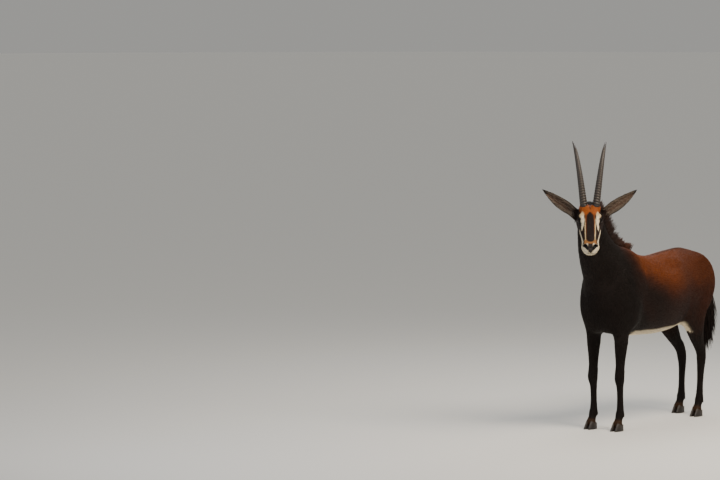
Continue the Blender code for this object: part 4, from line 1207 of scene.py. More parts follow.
def part_names(points, normals):
    """The part of the skin that each point belongs to."""
    names = smallest({name: tube.distance(points) for name, tube in TUBES.items()})
    ear = ear_share(points) > 0.5
    left = in_head(points)[:, 1] > 0
    for side, word in ((1, "left"), (-1, "right")):
        bowl = ear_axes(side)[2]
        mine = ear & (left == (side > 0))
        front = normals @ bowl > 0
        names[mine & front] = f"ear_{word}_front"
        names[mine & ~front] = f"ear_{word}_back"
    return names


def unrolled_part(name, points):
    """Metres along a part and the share of the way round it."""
    if name.startswith("ear"):
        along, across, _ = ear_axes(1 if "left" in name else -1)
        offset = points - ear_root(1 if "left" in name else -1)
        return offset @ along / EAR_LENGTH, (offset @ across) / (EAR_HALF * 2.8) + 0.5, 0.12, EAR_LENGTH
    tube = TUBES[name]
    s, turn, _ = tube.unrolled(points)
    around = math.pi * (tube.size[:, 0].mean() + tube.size[:, 1:].mean())
    return s / tube.length, turn / (2 * math.pi) + 0.5, around, tube.length


def add_unwrap(skin):
    """Two maps: OFBake with every part in its place on one square, and Comb in metres."""
    mesh = skin.data
    middles = values_of(mesh.polygons, "center")
    names = part_names(middles, values_of(mesh.polygons, "normal"))
    points = points_of(skin)
    corners = values_of(mesh.loops, "vertex_index", 1, int)
    owner = np.repeat(np.arange(len(middles)), values_of(mesh.polygons, "loop_total", 1, int))
    bake = np.zeros((len(corners), 2))
    comb = np.zeros((len(corners), 2))
    for name, (left, bottom, right, top) in ATLAS.items():
        mine = names[owner] == name
        if not mine.any():
            continue
        far, round_share, around, length = unrolled_part(name, points[corners[mine]])
        _, middle_share, _, _ = unrolled_part(name, middles[owner[mine]])
        round_share = middle_share + (round_share - middle_share + 0.5) % 1.0 - 0.5
        bake[mine, 0] = left + (right - left) * np.clip(round_share, 0, 1)
        bake[mine, 1] = bottom + (top - bottom) * np.clip(far, 0, 1)
        comb[mine, 0] = round_share * around
        comb[mine, 1] = far * length
    for title, values in (("OFBake", bake), ("Comb", comb)):
        mesh.uv_layers.new(name=title).data.foreach_set("uv", values.ravel())


def lie_of_hair(points, normals):
    """The way the hair lies, level with the skin."""
    total = np.zeros_like(points)
    for name, tube in TUBES.items():
        near = tube.distance(points)
        weight = np.exp(-np.maximum(near, 0) / 0.025) * (near < 0.15)
        pick = weight > 1e-3
        _, _, ahead = tube.unrolled(points[pick])
        total[pick] += ahead * (weight[pick] * LIE.get(name, 1))[:, None]
    total[:, 2] -= 0.25 * (np.abs(normals[:, 2]) < 0.8)
    ear = ear_share(points)[:, None]
    left = in_head(points)[:, 1:2] > 0
    outward = np.where(left, ear_axes(1)[0], ear_axes(-1)[0])
    total = unit(total) * (1 - ear) + outward * ear
    return unit(total - (total * normals).sum(1, keepdims=True) * normals)


# ---------------------------------------------------------------- nodes and looks
def add(tree, kind, feeds=None, **settings):
    """One node with its settings; feeds gives its inputs sockets or values."""
    node = tree.nodes.new(kind)
    for name, value in settings.items():
        setattr(node, name, value)
    for name, value in (feeds or {}).items():
        socket = node.inputs[name]
        if isinstance(value, bpy.types.NodeSocket):
            tree.links.new(value, socket)
        else:
            socket.default_value = value
    return node


def new_look(name, **values):
    """A material with one shader, its plain values set on the shader's own sockets."""
    look = bpy.data.materials.new(name)
    look.use_nodes = True
    tree = look.node_tree
    tree.nodes.clear()
    shader = add(tree, "ShaderNodeBsdfPrincipled",
                 {key.replace("_", " ").title().replace("Ior", "IOR"): value
                  for key, value in values.items()})
    add(tree, "ShaderNodeOutputMaterial", {"Surface": shader.outputs["BSDF"]})
    return look, tree, shader


def mapped(tree, value, low, high):
    """A value from 0 to 1 taken to the range from low to high."""
    return add(tree, "ShaderNodeMapRange", {"Value": value, "To Min": low, "To Max": high}).outputs[0]


def painted_colour(tree, *shares):
    """The markings' colour made lighter or darker by every share."""
    colour = add(tree, "ShaderNodeAttribute", attribute_name="coat").outputs["Color"]
    for share in shares:
        colour = add(tree, "ShaderNodeVectorMath", {0: colour, "Scale": share}, operation="SCALE").outputs[0]
    return colour


def streaks(tree, across, along, **inputs):
    """Noise drawn out along the growth, as broad and as long as given in metres."""
    comb = add(tree, "ShaderNodeUVMap", uv_map="Comb").outputs[0]
    drawn = add(tree, "ShaderNodeVectorMath", {0: comb, 1: (1 / across, 1 / along, 1)},
                operation="MULTIPLY").outputs[0]
    return add(tree, "ShaderNodeTexNoise", {"Vector": drawn, "Scale": 1.0, **inputs}).outputs["Fac"]


def hair_look(name):
    """Locks of hair: dark at the root, every lock a little lighter or darker than the next."""
    look, tree, shader = new_look(name, roughness=0.52, specular_ior_level=0.20)
    tip = add(tree, "ShaderNodeAttribute", attribute_name="tip").outputs["Fac"]
    shade = add(tree, "ShaderNodeAttribute", attribute_name="shade").outputs["Fac"]
    colour = painted_colour(tree, mapped(tree, tip, 0.62, 1.12), mapped(tree, shade, 0.74, 1.22))
    tree.links.new(colour, shader.inputs["Base Color"])
    return look


def skin_look():
    """The skin under the locks: fine combed streaks of hair, and bare pebbled leather at the nose."""
    look, tree, shader = new_look("short combed hair over skin", specular_ior_level=0.12)
    fine = streaks(tree, 0.0011, 0.011, Detail=3.0)
    broad = streaks(tree, 0.006, 0.045, Detail=3.0)
    bare = add(tree, "ShaderNodeAttribute", attribute_name="bare").outputs["Fac"]
    place = add(tree, "ShaderNodeTexCoord").outputs["Object"]
    pebbles = add(tree, "ShaderNodeTexVoronoi", {"Vector": place, "Scale": 620.0}, feature="SMOOTH_F1")
    height = add(tree, "ShaderNodeMix", {0: bare, 2: fine, 3: pebbles.outputs["Distance"]}).outputs[0]
    bump = add(tree, "ShaderNodeBump", {"Height": height, "Strength": 0.6, "Distance": 0.0007})
    tree.links.new(bump.outputs[0], shader.inputs["Normal"])
    colour = painted_colour(tree, mapped(tree, fine, 0.35, 1.15), mapped(tree, broad, 0.80, 1.15),
                            mapped(tree, bare, 0.80, 1.0))
    tree.links.new(colour, shader.inputs["Base Color"])
    tree.links.new(mapped(tree, bare, 0.60, 0.36), shader.inputs["Roughness"])
    return look


def eye_look():
    """A wet dark eye: the iris under a clear, sharply shining cover."""
    look, tree, shader = new_look("wet eye", roughness=0.20, specular_ior_level=0.15, coat_weight=0.45,
                                  coat_roughness=0.02)
    tree.links.new(add(tree, "ShaderNodeAttribute", attribute_name="coat").outputs["Color"],
                   shader.inputs["Base Color"])
    return look


def keratin_look(name, roughness, across, along):
    """Horn and hoof: fibres along their growth, worn paler on the ridges."""
    look, tree, shader = new_look(name, specular_ior_level=0.5)
    fibre = streaks(tree, across, along, Detail=5.0, Roughness=0.62)
    bump = add(tree, "ShaderNodeBump", {"Height": fibre, "Strength": 0.55, "Distance": 0.0006})
    tree.links.new(bump.outputs[0], shader.inputs["Normal"])
    tree.links.new(painted_colour(tree, mapped(tree, fibre, 0.55, 1.45)), shader.inputs["Base Color"])
    tree.links.new(mapped(tree, fibre, roughness - 0.08, roughness + 0.14), shader.inputs["Roughness"])
    return look


# ---------------------------------------------------------------- the coat
def lock_object(name, stations):
    """A lock of hair one long and one wide, along +X: a closed three-sided blade with a sharp tip."""
    bm = bmesh.new()
    rings = []
    for x, half, lift, thick in stations[:-1]:
        rings.append([bm.verts.new(place) for place in
                      ((x, -half, lift), (x, half, lift), (x, 0, lift + thick))])
    point = bm.verts.new((stations[-1][0], 0, stations[-1][2]))
    bm.faces.new(reversed(rings[0]))
    for near, far in zip(rings, rings[1:]):
        for i in range(3):
            bm.faces.new((near[i], near[(i + 1) % 3], far[(i + 1) % 3], far[i]))
    for i in range(3):
        bm.faces.new((rings[-1][i], rings[-1][(i + 1) % 3], point))
    lock = mesh_object(name, bm)
    at = points_of(lock)
    set_values(lock, "tip", "FLOAT", at[:, 0])
    set_values(lock, "own", "FLOAT_VECTOR", at * (1, 1, 0) - (0.5, 0, 0))
    return lock


def coat_tree():
    """Geometry nodes: locks set over a skin, along its lie, and made one mesh."""
    tree = bpy.data.node_groups.new("coat", "GeometryNodeTree")
    tree.interface.new_socket("Geometry", in_out="INPUT", socket_type="NodeSocketGeometry")
    for name, kind in (("Lock", "Object"), ("Spacing", "Float"), ("Stray", "Vector"), ("Lift", "Vector"),
                       ("Seed", "Int"), ("Hair", "Material")):
        tree.interface.new_socket(name, in_out="INPUT", socket_type="NodeSocket" + kind)
    tree.interface.new_socket("Geometry", in_out="OUTPUT", socket_type="NodeSocketGeometry")
    given = add(tree, "NodeGroupInput").outputs

    def kept(name, kind="FLOAT_VECTOR"):
        return add(tree, "GeometryNodeInputNamedAttribute", {"Name": name}, data_type=kind).outputs[0]

    def store(shape, name, kind, domain, value):
        return add(tree, "GeometryNodeStoreNamedAttribute", {"Geometry": shape, "Name": name, "Value": value},
                   data_type=kind, domain=domain).outputs[0]

    square = add(tree, "ShaderNodeMath", {0: given["Spacing"], 1: given["Spacing"]}, operation="MULTIPLY")
    most = add(tree, "ShaderNodeMath", {0: 1.5, 1: square.outputs[0]}, operation="DIVIDE").outputs[0]
    roots = add(tree, "GeometryNodeDistributePointsOnFaces",
                {"Mesh": given["Geometry"], "Distance Min": given["Spacing"], "Density Max": most,
                 "Density Factor": kept("cover", "FLOAT"), "Seed": given["Seed"]},
                distribute_method="POISSON").outputs["Points"]
    shade = add(tree, "FunctionNodeRandomValue", {2: 0.0, 3: 1.0, "Seed": given["Seed"]}, data_type="FLOAT")
    roots = store(roots, "shade", "FLOAT", "POINT", shade.outputs[1])
    roots = store(roots, "root", "FLOAT_VECTOR", "POINT", kept("OFBake"))
    lie = add(tree, "FunctionNodeAxesToRotation",
              {"Primary Axis": kept("lay"), "Secondary Axis": kept("broad")},
              primary_axis="X", secondary_axis="Z").outputs[0]
    less = add(tree, "ShaderNodeVectorMath", {0: given["Lift"], 1: given["Stray"]}, operation="SUBTRACT")
    more = add(tree, "ShaderNodeVectorMath", {0: given["Lift"], 1: given["Stray"]}, operation="ADD")
    stray = add(tree, "FunctionNodeRandomValue",
                {0: less.outputs[0], 1: more.outputs[0], "Seed": given["Seed"]},
                data_type="FLOAT_VECTOR").outputs[0]
    stray = add(tree, "FunctionNodeEulerToRotation", {0: stray}).outputs[0]
    lie = add(tree, "FunctionNodeRotateRotation", {"Rotation": lie, "Rotate By": stray},
              rotation_space="LOCAL").outputs[0]
    grown = add(tree, "FunctionNodeRandomValue", {2: 0.75, 3: 1.25, "Seed": given["Seed"]},
                data_type="FLOAT").outputs[1]
    scale = add(tree, "ShaderNodeVectorMath", {0: kept("size"), "Scale": grown}, operation="SCALE").outputs[0]
    lock = add(tree, "GeometryNodeObjectInfo", {"Object": given["Lock"]}).outputs["Geometry"]
    locks = add(tree, "GeometryNodeInstanceOnPoints",
                {"Points": roots, "Instance": lock, "Rotation": lie, "Scale": scale}).outputs[0]
    locks = add(tree, "GeometryNodeRealizeInstances", {"Geometry": locks}).outputs[0]
    patch = add(tree, "ShaderNodeVectorMath", {0: kept("own"), 1: (LOCK_PATCH,) * 3, 2: kept("root")},
                operation="MULTIPLY_ADD").outputs[0]
    locks = store(locks, "OFBake", "FLOAT2", "CORNER", patch)
    locks = add(tree, "GeometryNodeSetMaterial", {"Geometry": locks, "Material": given["Hair"]}).outputs[0]
    add(tree, "NodeGroupOutput", {0: locks})
    return tree


def grow(name, skin, tree, cover, size, lay, **inputs):
    """A piece of the coat: locks over the skin where cover is above 0, their sizes and their lie given."""
    bed = bpy.data.objects.new(name + "_bed", skin.data.copy())
    bpy.context.scene.collection.objects.link(bed)
    for title, kind, values in (("cover", "FLOAT", cover), ("size", "FLOAT_VECTOR", size),
                                ("lay", "FLOAT_VECTOR", lay), ("broad", "FLOAT_VECTOR", normals_of(skin))):
        set_values(bed, title, kind, values)
    coat = bed.modifiers.new("coat", "NODES")
    coat.node_group = tree
    for socket in tree.interface.items_tree:
        if socket.in_out == "INPUT" and socket.name in inputs:
            coat[socket.identifier] = inputs[socket.name]
    graph = bpy.context.evaluated_depsgraph_get()
    mesh = bpy.data.meshes.new_from_object(bed.evaluated_get(graph))
    mesh.name = name
    bpy.data.objects.remove(bed)
    for title in ("cover", "size", "lay", "broad", "own", "root", "bare"):
        if title in mesh.attributes:
            mesh.attributes.remove(mesh.attributes[title])
    mesh.polygons.foreach_set("use_smooth", [True] * len(mesh.polygons))
    thing = bpy.data.objects.new(name, mesh)
    bpy.context.scene.collection.objects.link(thing)
    return thing


def hair_length(points):
    """How long the coat is at each place, in metres."""
    p = points - SHIFT
    u = in_head(points)[:, 0]
    length = BODY_HAIR + BELLY_HAIR * below(p[:, 2], BELLY_Z + 0.08, 0.10)
    neck = ease((0.04 - TUBES["neck"].distance(points)) / 0.05)
    _, turn, _ = TUBES["neck"].unrolled(points)
    throat = ease((0.75 - np.abs(turn)) / 0.5) * neck
    length = length + NECK_HAIR * neck + THROAT_HAIR * throat
    leg = ease((0.78 - p[:, 2]) / 0.62)
    length = length * (1 - leg) + LEG_HAIR * leg
    tail = ease((p[:, 1] - 0.74) / 0.02)
    length = length * (1 - tail) + TAIL_HAIR * tail
    head = ease((0.03 - TUBES["head"].distance(points)) / 0.03) * ease((u + 0.06) / 0.05)
    face = BROW_HAIR + (CHEEK_HAIR - BROW_HAIR) * ease((u + 0.02) / 0.14)
    face = face - NOSE_HAIR * ease((u - 0.20) / 0.15)
    length = length * (1 - head) + face * head
    ear = ear_share(points)
    poll = np.exp(-(((in_head(points) - (0.0, 0.0, 0.06)) / (0.05, 0.03, 0.04)) ** 2).sum(1))
    length = length * (1 - 0.55 * poll)
    return length * (1 - ear) + EAR_BACK_HAIR * ear


def lock_sizes(length, wide, rise):
    """Locks' sizes from their lengths and one width and rise."""
    return np.stack([length, 0 * length + wide, 0 * length + rise], axis=1)


def mane_bed(points, normals, tube):
    """Where the mane grows, its sizes and its lie: up off the nape, leaning back in clumps."""
    _, mixed, x, y, past = tube.section(points)
    tall = mixed(tube.size)[:, 2] + y
    top = below(np.abs(x), MANE_HALF, 0.006) * (tall > 0.030) * (tall < 0.15) * (np.abs(past) < 0.012)
    top = top * (normals @ np.array((0, 0.35, 0.94)) > 0.1) * (points[:, 1] - SHIFT[1] < MANE_END)
    clump = rough_noise(points, 0.022, 4.4)
    sway = rough_noise(points, 0.035, 9.1)
    outward = -mixed(tube.up)
    lay = unit(outward + mixed(tube.ahead) * (0.30 + 0.22 * clump)[:, None]
               + mixed(tube.side) * (sway * 0.22 + x / 0.10)[:, None])
    rear = 1 + 0.30 * ease((points[:, 1] - SHIFT[1] + 0.46) / 0.16)
    return top, lock_sizes(tall * rear * (0.94 + 0.14 * clump), *MANE_LOCK), lay


def brush_bed(points, normals):
    """Where the tail's brush grows: long locks hanging from the lower half of the tail."""
    p = points - SHIFT
    on_tail = (TUBES["tail"].distance(points) < 0.01) & (p[:, 1] > 0.72)
    cover = on_tail * below(p[:, 2], 0.86, 0.10)
    fall = np.clip(p[:, 2] - 0.455, 0.06, 0.170)
    flare = 0.20 * ease((p[:, 2] - 0.60) / 0.12) + 0.04
    sway = np.stack([rough_noise(points, 0.02, seed) for seed in (2.2, 5.5, 8.8)], axis=1)
    lay = unit(np.array((0, 0, -1.0)) + normals * flare[:, None] + sway * 0.07)
    return cover, lock_sizes(fall, *BRUSH_LOCK), lay


def ear_hair_bed(points, normals):
    """Where longer hair grows in the ear: along its edges and up from its foot."""
    cover = np.zeros(len(points))
    lay = np.tile((0.0, 0.0, 1.0), (len(points), 1))
    size = np.full((len(points), 3), 0.001)
    for side in (1, -1):
        along, across, bowl = ear_axes(side)
        t, a = ear_place(points, side)
        mine = (ear_share(points) > 0.3) & (in_head(points)[:, 1] * side > 0) & (normals @ bowl > -0.1)
        edge = ease((np.abs(a) - 0.48) / 0.22) * ease((t - 0.10) / 0.06) * below(t, 0.90, 0.10)
        rows = np.exp(-(((a + 0.15) / 0.10) ** 2)) + np.exp(-(((a - 0.30) / 0.08) ** 2))
        rows *= ease((t - 0.14) / 0.05) * below(t, 0.72, 0.2)
        cover[mine] = np.maximum(edge, rows * 0.8)[mine]
        way = unit(along - across * (np.sign(a) * (0.45 + 0.25 * np.abs(a)))[:, None] + bowl * 0.16)
        lay[mine] = way[mine]
        size[mine] = lock_sizes(EAR_HAIR_LENGTH * (1 - 0.35 * t), *EAR_LOCK)[mine]
    return cover, size, lay


def lash_bed(points):
    """Where the lashes grow: the rim of each upper lid, fanned out and up."""
    x, y, far, _, _ = eye_place(in_half_head(points))
    ring = opening(x, y)
    cover = (ring > 1.01) & (ring < 1.20) & (y > LID_UP * 0.35) & (far < 0.030)
    along, up, out = eye_axes()
    lay = unit(out * 0.75 + up * 0.55 + along * (x / LID_HALF * 0.7)[:, None])
    lay[:, 1] *= side_of(points)
    size = np.tile(LASH, (len(points), 1))
    return cover.astype(float), size, unit(lay @ HEAD_AXES[:3, :3].T)


def tinted(thing, code, share):
    """The piece's colours drawn toward one colour."""
    colours = values_of(thing.data.attributes["coat"].data, "color", 4)[:, :3]
    set_values(thing, "coat", "FLOAT_COLOR", laid(colours, linear(code), np.full(len(colours), share)))


# ---------------------------------------------------------------- eyes, horns and hooves
def ringed_skin(name, shapes, look):
    """Closed shapes through rings, with a comb map in metres and a colour on each point.

    Each shape is a list of rings: its points, its width for each point, its place along
    and the colours of its points.
    """
    bm = bmesh.new()
    layer = bm.loops.layers.uv.new("Comb")
    for shape in shapes:
        rows = [[bm.verts.new(point) for point in ring] for ring, _, _, _ in shape]
        count = len(rows[0])
        for near, far, lower, upper in zip(rows, rows[1:], shape, shape[1:]):
            _, step_a, along_a, _ = lower
            _, step_b, along_b, _ = upper
            for i in range(count):
                j = (i + 1) % count
                face = bm.faces.new((near[i], near[j], far[j], far[i]))
                corners = ((step_a * i, along_a), (step_a * (i + 1), along_a),
                           (step_b * (i + 1), along_b), (step_b * i, along_b))
                for loop, corner in zip(face.loops, corners):
                    loop[layer].uv = corner
        bm.faces.new(list(reversed(rows[0])))
        bm.faces.new(rows[-1])
    thing = mesh_object(name, bm)
    colours = [colour for shape in shapes for _, _, _, colour in shape]
    set_values(thing, "coat", "FLOAT_COLOR", np.vstack(colours))
    thing.data.materials.append(look)
    return thing


def eye_piece(side, look):
    """An eyeball with a clear bulge over a dark brown iris and a long level pupil."""
    along, up, out = eye_axes()
    rings = []
    turns = np.linspace(0, 2 * math.pi, EYE_SIDES, endpoint=False)
    for turn in np.concatenate([np.linspace(0.02, 0.75, 34), np.linspace(0.80, math.pi - 0.03, 18)]):
        bulge = EYE_BULGE * (1 - min(turn / 0.62, 1) ** 2) ** 1.5
        radius = EYE_SIZE + bulge
        flat = math.sin(turn) * (np.cos(turns)[:, None] * along + np.sin(turns)[:, None] * up)
        ray = flat + out * math.cos(turn)
        q = np.array(EYE_AT) + ray * radius
        q[:, 1] *= side
        a = turn * EYE_SIZE * np.cos(turns)
        b = turn * EYE_SIZE * np.sin(turns)
        pupil = below(np.hypot(a / PUPIL[0], b / PUPIL[1]), 1.0, 0.20)
        ray_light = 0.5 + 0.5 * np.sin(turns * 37) * np.sin(turns * 23 + 1)
        iris = laid(np.tile(linear(IRIS_BROWN), (EYE_SIDES, 1)), linear(IRIS_RAYS), ray_light * 0.6)
        far = np.full(EYE_SIDES, turn * EYE_SIZE)
        iris = laid(iris, linear(IRIS_EDGE), 1 - below(far, IRIS * 0.92, IRIS * 0.22))
        rings.append((from_head(q), 0.001, turn * EYE_SIZE, laid(iris, linear(PUPIL_BLACK), pupil)))
    return ringed_skin("eyeball_" + SIDES[side], [rings], look)


def horn_piece(side, look):
    """A long curved horn, ringed round its front for most of its length, smooth at the tip."""
    yaw = math.radians(HEAD_YAW)
    back = np.array((-math.sin(yaw), math.cos(yaw), 0.0))
    out = np.array((math.cos(yaw), math.sin(yaw), 0.0)) * side
    up = np.array((0, 0, 1.0))
    low, high = (math.radians(value) for value in HORN_LEAN)
    spread = math.radians(HORN_SPREAD)
    place = placed((HORN_AT[0], HORN_AT[1] * side, HORN_AT[2])) + SHIFT
    turns = np.linspace(0, 2 * math.pi, HORN_SIDES, endpoint=False)
    facing = 0.5 + 0.5 * np.sin(turns)
    rings = []
    steps = HORN_RINGS * 12
    for i in range(steps + 1):
        t = i / steps
        lean = low + (high - low) * t
        ahead = (up * math.cos(lean) + back * math.sin(lean)) * math.cos(spread) + out * math.sin(spread)
        if i:
            place = place + ahead * HORN_LENGTH / steps
        radius = HORN_RADIUS * (1 - t) ** 0.62 * (1 - 0.10 * t) + 0.0022
        wave = (t * HORN_RINGS / HORN_RINGED + 0.16 * facing + 0.10 * np.sin(turns * 2 + i * 0.01)) % 1.0
        ridge = np.minimum(wave / 0.62, (1 - wave) / 0.38) ** 1.25
        here = ease((t - 0.008) / 0.03) * (1 - ease((t - 0.74) / 0.12))
        raised = ridge * RING_DEPTH * (0.50 + 0.50 * facing) * here * (1 - 0.20 * t)
        grown = radius + raised - RING_DEPTH * 0.35 * here
        across = unit(out - (out @ ahead) * ahead)
        front = np.cross(across, ahead)
        front = front * np.sign(front @ -back)
        ring = (place + (grown * np.cos(turns))[:, None] * across * 0.92
                + (grown * np.sin(turns))[:, None] * front * 1.08)
        colour = np.tile(linear(HORN_DARK), (HORN_SIDES, 1))
        colour = laid(colour, linear(HORN_WORN), ridge * here * (0.35 + 0.65 * facing) * 0.8)
        colour = laid(colour, linear(HORN_TIP), np.full(HORN_SIDES, ease((t - 0.62) / 0.30) * 0.75))
        rings.append((ring, 2 * math.pi * HORN_RADIUS / HORN_SIDES, t * HORN_LENGTH, colour))
    return ringed_skin("ringed_horn_" + SIDES[side], [rings], look)


def claw_outline(length, half, inner):
    """Outline of one claw seen from above: pointed in front, its inner edge nearly straight."""
    turns = np.linspace(0, 2 * math.pi, CLAW_SIDES, endpoint=False)
    x, y = np.cos(turns), np.sin(turns)
    pointed = half * (1 - 0.35 * np.maximum(-y, 0) ** 2)
    reach = pointed * np.where(x * inner > 0, 0.80, 1.0)
    return np.copysign(np.abs(x) ** 0.8, x) * reach, y * length / 2


def hoof_piece(name, look):
    """A split hoof: two claws with growth rings and flat soles, and two dewclaws behind them."""
    x, y, _ = leg_rows(name)[-1, :3] + SHIFT
    tilt = math.tan(math.radians(HOOF_TILT))
    shapes = []
    for inner in (1, -1):
        rings = []
        levels = [0.0, 0.02, 0.06] + list(np.linspace(0.10, 1.0, 34))
        for share in levels:
            rounded = 1 - 0.06 * (1 - ease(share / 0.06))
            swell = 1 + 0.010 * math.sin(share * 38) * ease((share - 0.08) / 0.1) * (1 - share)
            length = (HOOF_LENGTH + (HOOF_TOP_LENGTH - HOOF_LENGTH) * share) * rounded * swell
            half = (HOOF_HALF + (HOOF_TOP_HALF - HOOF_HALF) * share ** 0.8) * rounded * swell
            back = -0.012 + 0.016 * share
            u, v = claw_outline(length, half, inner)
            place_x = x - inner * (HOOF_HALF * 0.86 + 0.001) + u
            place_y = y + back + v
            top = HOOF_HEIGHT - tilt * (place_y - y)
            ring = np.stack([place_x, place_y, top * share], axis=1)
            colour = np.tile(linear(HOOF_DARK) * (1 - share) + linear(HOOF_TOP) * share, (CLAW_SIDES, 1))
            rings.append((ring, 2 * math.pi * HOOF_HALF / CLAW_SIDES, share * HOOF_HEIGHT, colour))
        shapes += [rings, dewclaw_rings(x - inner * 0.017, y)]
    return ringed_skin("hooves_" + name, shapes, look)


def dewclaw_rings(x, y):
    """A small blunt claw behind the fetlock, pointing down."""
    rings = []
    turns = np.linspace(0, 2 * math.pi, 14, endpoint=False)
    for share in np.linspace(0, 1, 9):
        reach = 0.0085 * math.sqrt(max(1 - share**2 * 0.94, 0.02))
        middle = np.array((x, y + 0.044 + 0.008 * share, 0.118 - 0.026 * share))
        ring = middle + np.stack([np.cos(turns) * reach, np.sin(turns) * reach * 0.8, 0 * turns], axis=1)
        rings.append((ring, 0.004, share * 0.03, np.tile(linear(HOOF_DARK), (14, 1))))
    return rings


# ---------------------------------------------------------------- the whole animal
def parts_cover(names, *words):
    """1 on the named parts of the skin and 0 elsewhere."""
    return np.isin(names, [name for name in ATLAS if name.startswith(words)]).astype(float)


skin = skin_object()
points = points_of(skin)
normals = normals_of(skin)
q = in_half_head(points)
on_head = ease((0.030 - TUBES["head"].distance(points)) / 0.012) * ease((q[:, 0] + 0.05) / 0.03)
colours = body_colours(points, normals)
colours = colours + (head_colours(points) - colours) * on_head[:, None]
ear = ease(ear_share(points) * 1.5)[:, None]
colours = colours + (ear_colours(points, normals) - colours) * ear
set_values(skin, "coat", "FLOAT_COLOR", colours)
bare = bare_share(points) * (ear_share(points) < 0.5) * on_head
set_values(skin, "bare", "FLOAT", bare)
add_unwrap(skin)
skin.data.materials.clear()
skin.data.materials.append(skin_look())
skin.data.polygons.foreach_set("use_smooth", [True] * len(skin.data.polygons))

names = part_names(points, normals)
lie = lie_of_hair(points, normals)
length = hair_length(points)
size = np.stack([length, length * LOCK_WIDE, length * LOCK_RISE], axis=1)
eye_x, eye_y, eye_far, _, _ = eye_place(q)
haired = (1 - np.clip(bare * 1.6, 0, 1)) * (points[:, 2] > HOOF_HAIR_Z)
haired *= 1 - (opening(eye_x, eye_y) < LID_BARE) * (eye_far < 0.035)
design_y = points[:, 1] - SHIFT[1]

short_lock = lock_object("short_lock", SHORT_LOCK)
long_lock = lock_object("long_lock", LONG_LOCK)
tree = coat_tree()
short_hair = hair_look("short glossy hair")
long_hair = hair_look("long coarse hair")
trunk = parts_cover(names, "trunk")
# Each coat piece: name, where it grows, distance between locks, material slot.
COATS = [
    ("coat_face", parts_cover(names, "head"), 0.0025, "face_coat"),
    ("coat_ears", parts_cover(names, "ear"), 0.0032, "ear_coat"),
    ("coat_neck", parts_cover(names, "neck"), 0.0040, "black_coat"),
    ("coat_shoulders", trunk * (design_y < -0.12), 0.0040, "black_coat"),
    ("coat_barrel", trunk * (design_y >= -0.12) * (design_y < 0.26), 0.0040, "chestnut_coat"),
    ("coat_rump", trunk * (design_y >= 0.26), 0.0040, "chestnut_coat"),
    ("coat_forelegs", parts_cover(names, "leg_front"), 0.0036, "black_coat"),
    ("coat_hindlegs", parts_cover(names, "leg_hind"), 0.0040, "dark_brown_coat"),
    ("coat_tail", parts_cover(names, "tail"), 0.0046, "dark_brown_coat"),
]
coats = []
for seed, (name, cover, spacing, slot) in enumerate(COATS, 1):
    coat = grow(name, skin, tree, cover * haired, size, lie, Lock=short_lock, Spacing=spacing,
                Stray=LOCK_STRAY, Lift=LOCK_LIFT, Seed=seed, Hair=short_hair)
    coats.append((coat, slot))

side_of_mane = np.linspace(1, 0, len(MANE)) ** 1.5 * math.radians(HEAD_YAW)
mane_line = Tube(MANE, np.stack([np.cos(side_of_mane), np.sin(side_of_mane), 0 * side_of_mane], axis=1), 0.02)
# The longer hair: name, where it grows, its sizes and its lie, distance between locks, slot.
LONG = [
    ("mane", *mane_bed(points, normals, mane_line), 0.0023, "black_coat"),
    ("tail_brush", *brush_bed(points, normals), 0.0034, "dark_brown_coat"),
    ("ear_hair", *ear_hair_bed(points, normals), 0.0032, "ear_coat"),
    ("eyelashes", *lash_bed(points), 0.0010, "face_coat"),
]
for seed, (name, cover, sizes, lay, spacing, slot) in enumerate(LONG, 20):
    coat = grow(name, skin, tree, cover, sizes, lay, Lock=long_lock, Spacing=spacing,
                Stray=LONG_STRAY, Lift=(0, 0, 0), Seed=seed, Hair=long_hair)
    coats.append((coat, slot))
by_name = {coat.name: coat for coat, _ in coats}
tinted(by_name["mane"], MANE_HAIR, 0.80)
tinted(by_name["ear_hair"], EAR_HAIR, 0.80)
tinted(by_name["eyelashes"], BLACK_HAIR, 1.0)
for lock in (short_lock, long_lock):
    bpy.data.objects.remove(lock)

eye_finish = eye_look()
horn_finish = keratin_look("ringed horn", 0.48, 0.0012, 0.030)
hoof_finish = keratin_look("hoof horn", 0.46, 0.0012, 0.020)
eyes = {side: eye_piece(side, eye_finish) for side in SIDES}
horns = {side: horn_piece(side, horn_finish) for side in SIDES}
hooves = {name: hoof_piece(name, hoof_finish) for name in STEP}

# ---------------------------------------------------------------- fitting to the frame
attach(skin, "root")
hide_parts("trunk", "neck", "head", "tail", "ear_left", "ear_right", *["leg_" + name for name in STEP])
for coat, slot in coats:
    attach(coat, "root")
for side, word in SIDES.items():
    for piece, slot in ((eyes[side], "eye"), (horns[side], "horn")):
        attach(piece, "root")
        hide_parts(f"{slot}_{word}")
for name, hoof in hooves.items():
    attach(hoof, "root")
    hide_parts(f"hoof_{name}_right_claw", f"hoof_{name}_left_claw")

# ---------------------------------------------------------------- floor, lights and camera
bm = bmesh.new()
bmesh.ops.create_circle(bm, cap_ends=True, radius=FLOOR_REACH, segments=96)
floor = mesh_object("floor", bm, smooth=False)
floor_look, _, floor_shader = new_look("pale floor", roughness=0.85, specular_ior_level=0.2)
floor_shader.inputs["Base Color"].default_value = (*linear(FLOOR_GREY), 1)
floor.data.materials.append(floor_look)

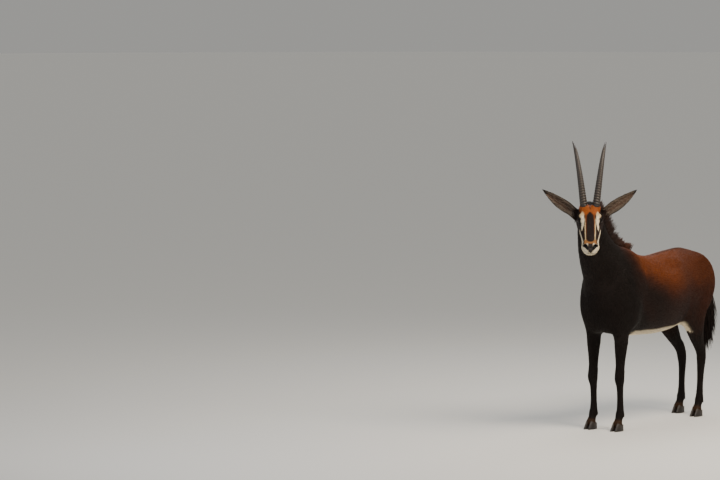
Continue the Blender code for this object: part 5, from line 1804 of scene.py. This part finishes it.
world = bpy.data.worlds.new("studio")
bpy.context.scene.world = world
world.use_nodes = True
sky = world.node_tree
way = add(sky, "ShaderNodeSeparateXYZ", {0: add(sky, "ShaderNodeTexCoord").outputs["Generated"]}).outputs["Z"]
rise = add(sky, "ShaderNodeMapRange", {"Value": way, "From Max": 0.35}).outputs[0]
blend = add(sky, "ShaderNodeMix", {0: rise, 6: (*linear(SKY_LOW), 1), 7: (*linear(SKY_HIGH), 1)},
            data_type="RGBA")
sky.links.new(blend.outputs[2], sky.nodes["Background"].inputs["Color"])
sky.nodes["Background"].inputs["Strength"].default_value = SKY_STRENGTH


def angled(azimuth, elevation):
    """The way back to the camera, to its right and up, for a view at these angles."""
    a, e = math.radians(azimuth), math.radians(elevation)
    back = np.array((math.sin(a) * math.cos(e), -math.cos(a) * math.cos(e), math.sin(e)))
    right = np.array((math.cos(a), math.sin(a), 0.0))
    return back, right, np.cross(back, right)


def add_light(name, azimuth, elevation, far, size, power, colour):
    """A soft square lamp that looks at the animal's middle."""
    lamp = bpy.data.lights.new(name, "AREA")
    lamp.size = size
    lamp.energy = power
    lamp.color = linear(colour)
    thing = bpy.data.objects.new(name, lamp)
    back = angled(azimuth, elevation)[0]
    thing.location = Vector(back * far) + Vector((0, 0, 1.1))
    thing.rotation_mode = "QUATERNION"
    thing.rotation_quaternion = Vector(-back).to_track_quat("-Z", "Y")
    bpy.context.scene.collection.objects.link(thing)


for lamp in LAMPS:
    add_light(*lamp)

back, right, above = angled(VIEW_AZIMUTH, VIEW_ELEVATION)
lens = bpy.data.cameras.new("camera")
lens.sensor_width = 36.0
lens.lens = lens.sensor_width * VIEW_FAR / VIEW_WIDE
lens.clip_end = 200
camera = bpy.data.objects.new("camera", lens)
camera.location = Vector(SHIFT + right * VIEW_AIM[0] + above * VIEW_AIM[1] + back * VIEW_FAR)
camera.rotation_mode = "QUATERNION"
camera.rotation_quaternion = Vector(-back).to_track_quat("-Z", "Y")
bpy.context.scene.collection.objects.link(camera)
bpy.context.scene.camera = camera
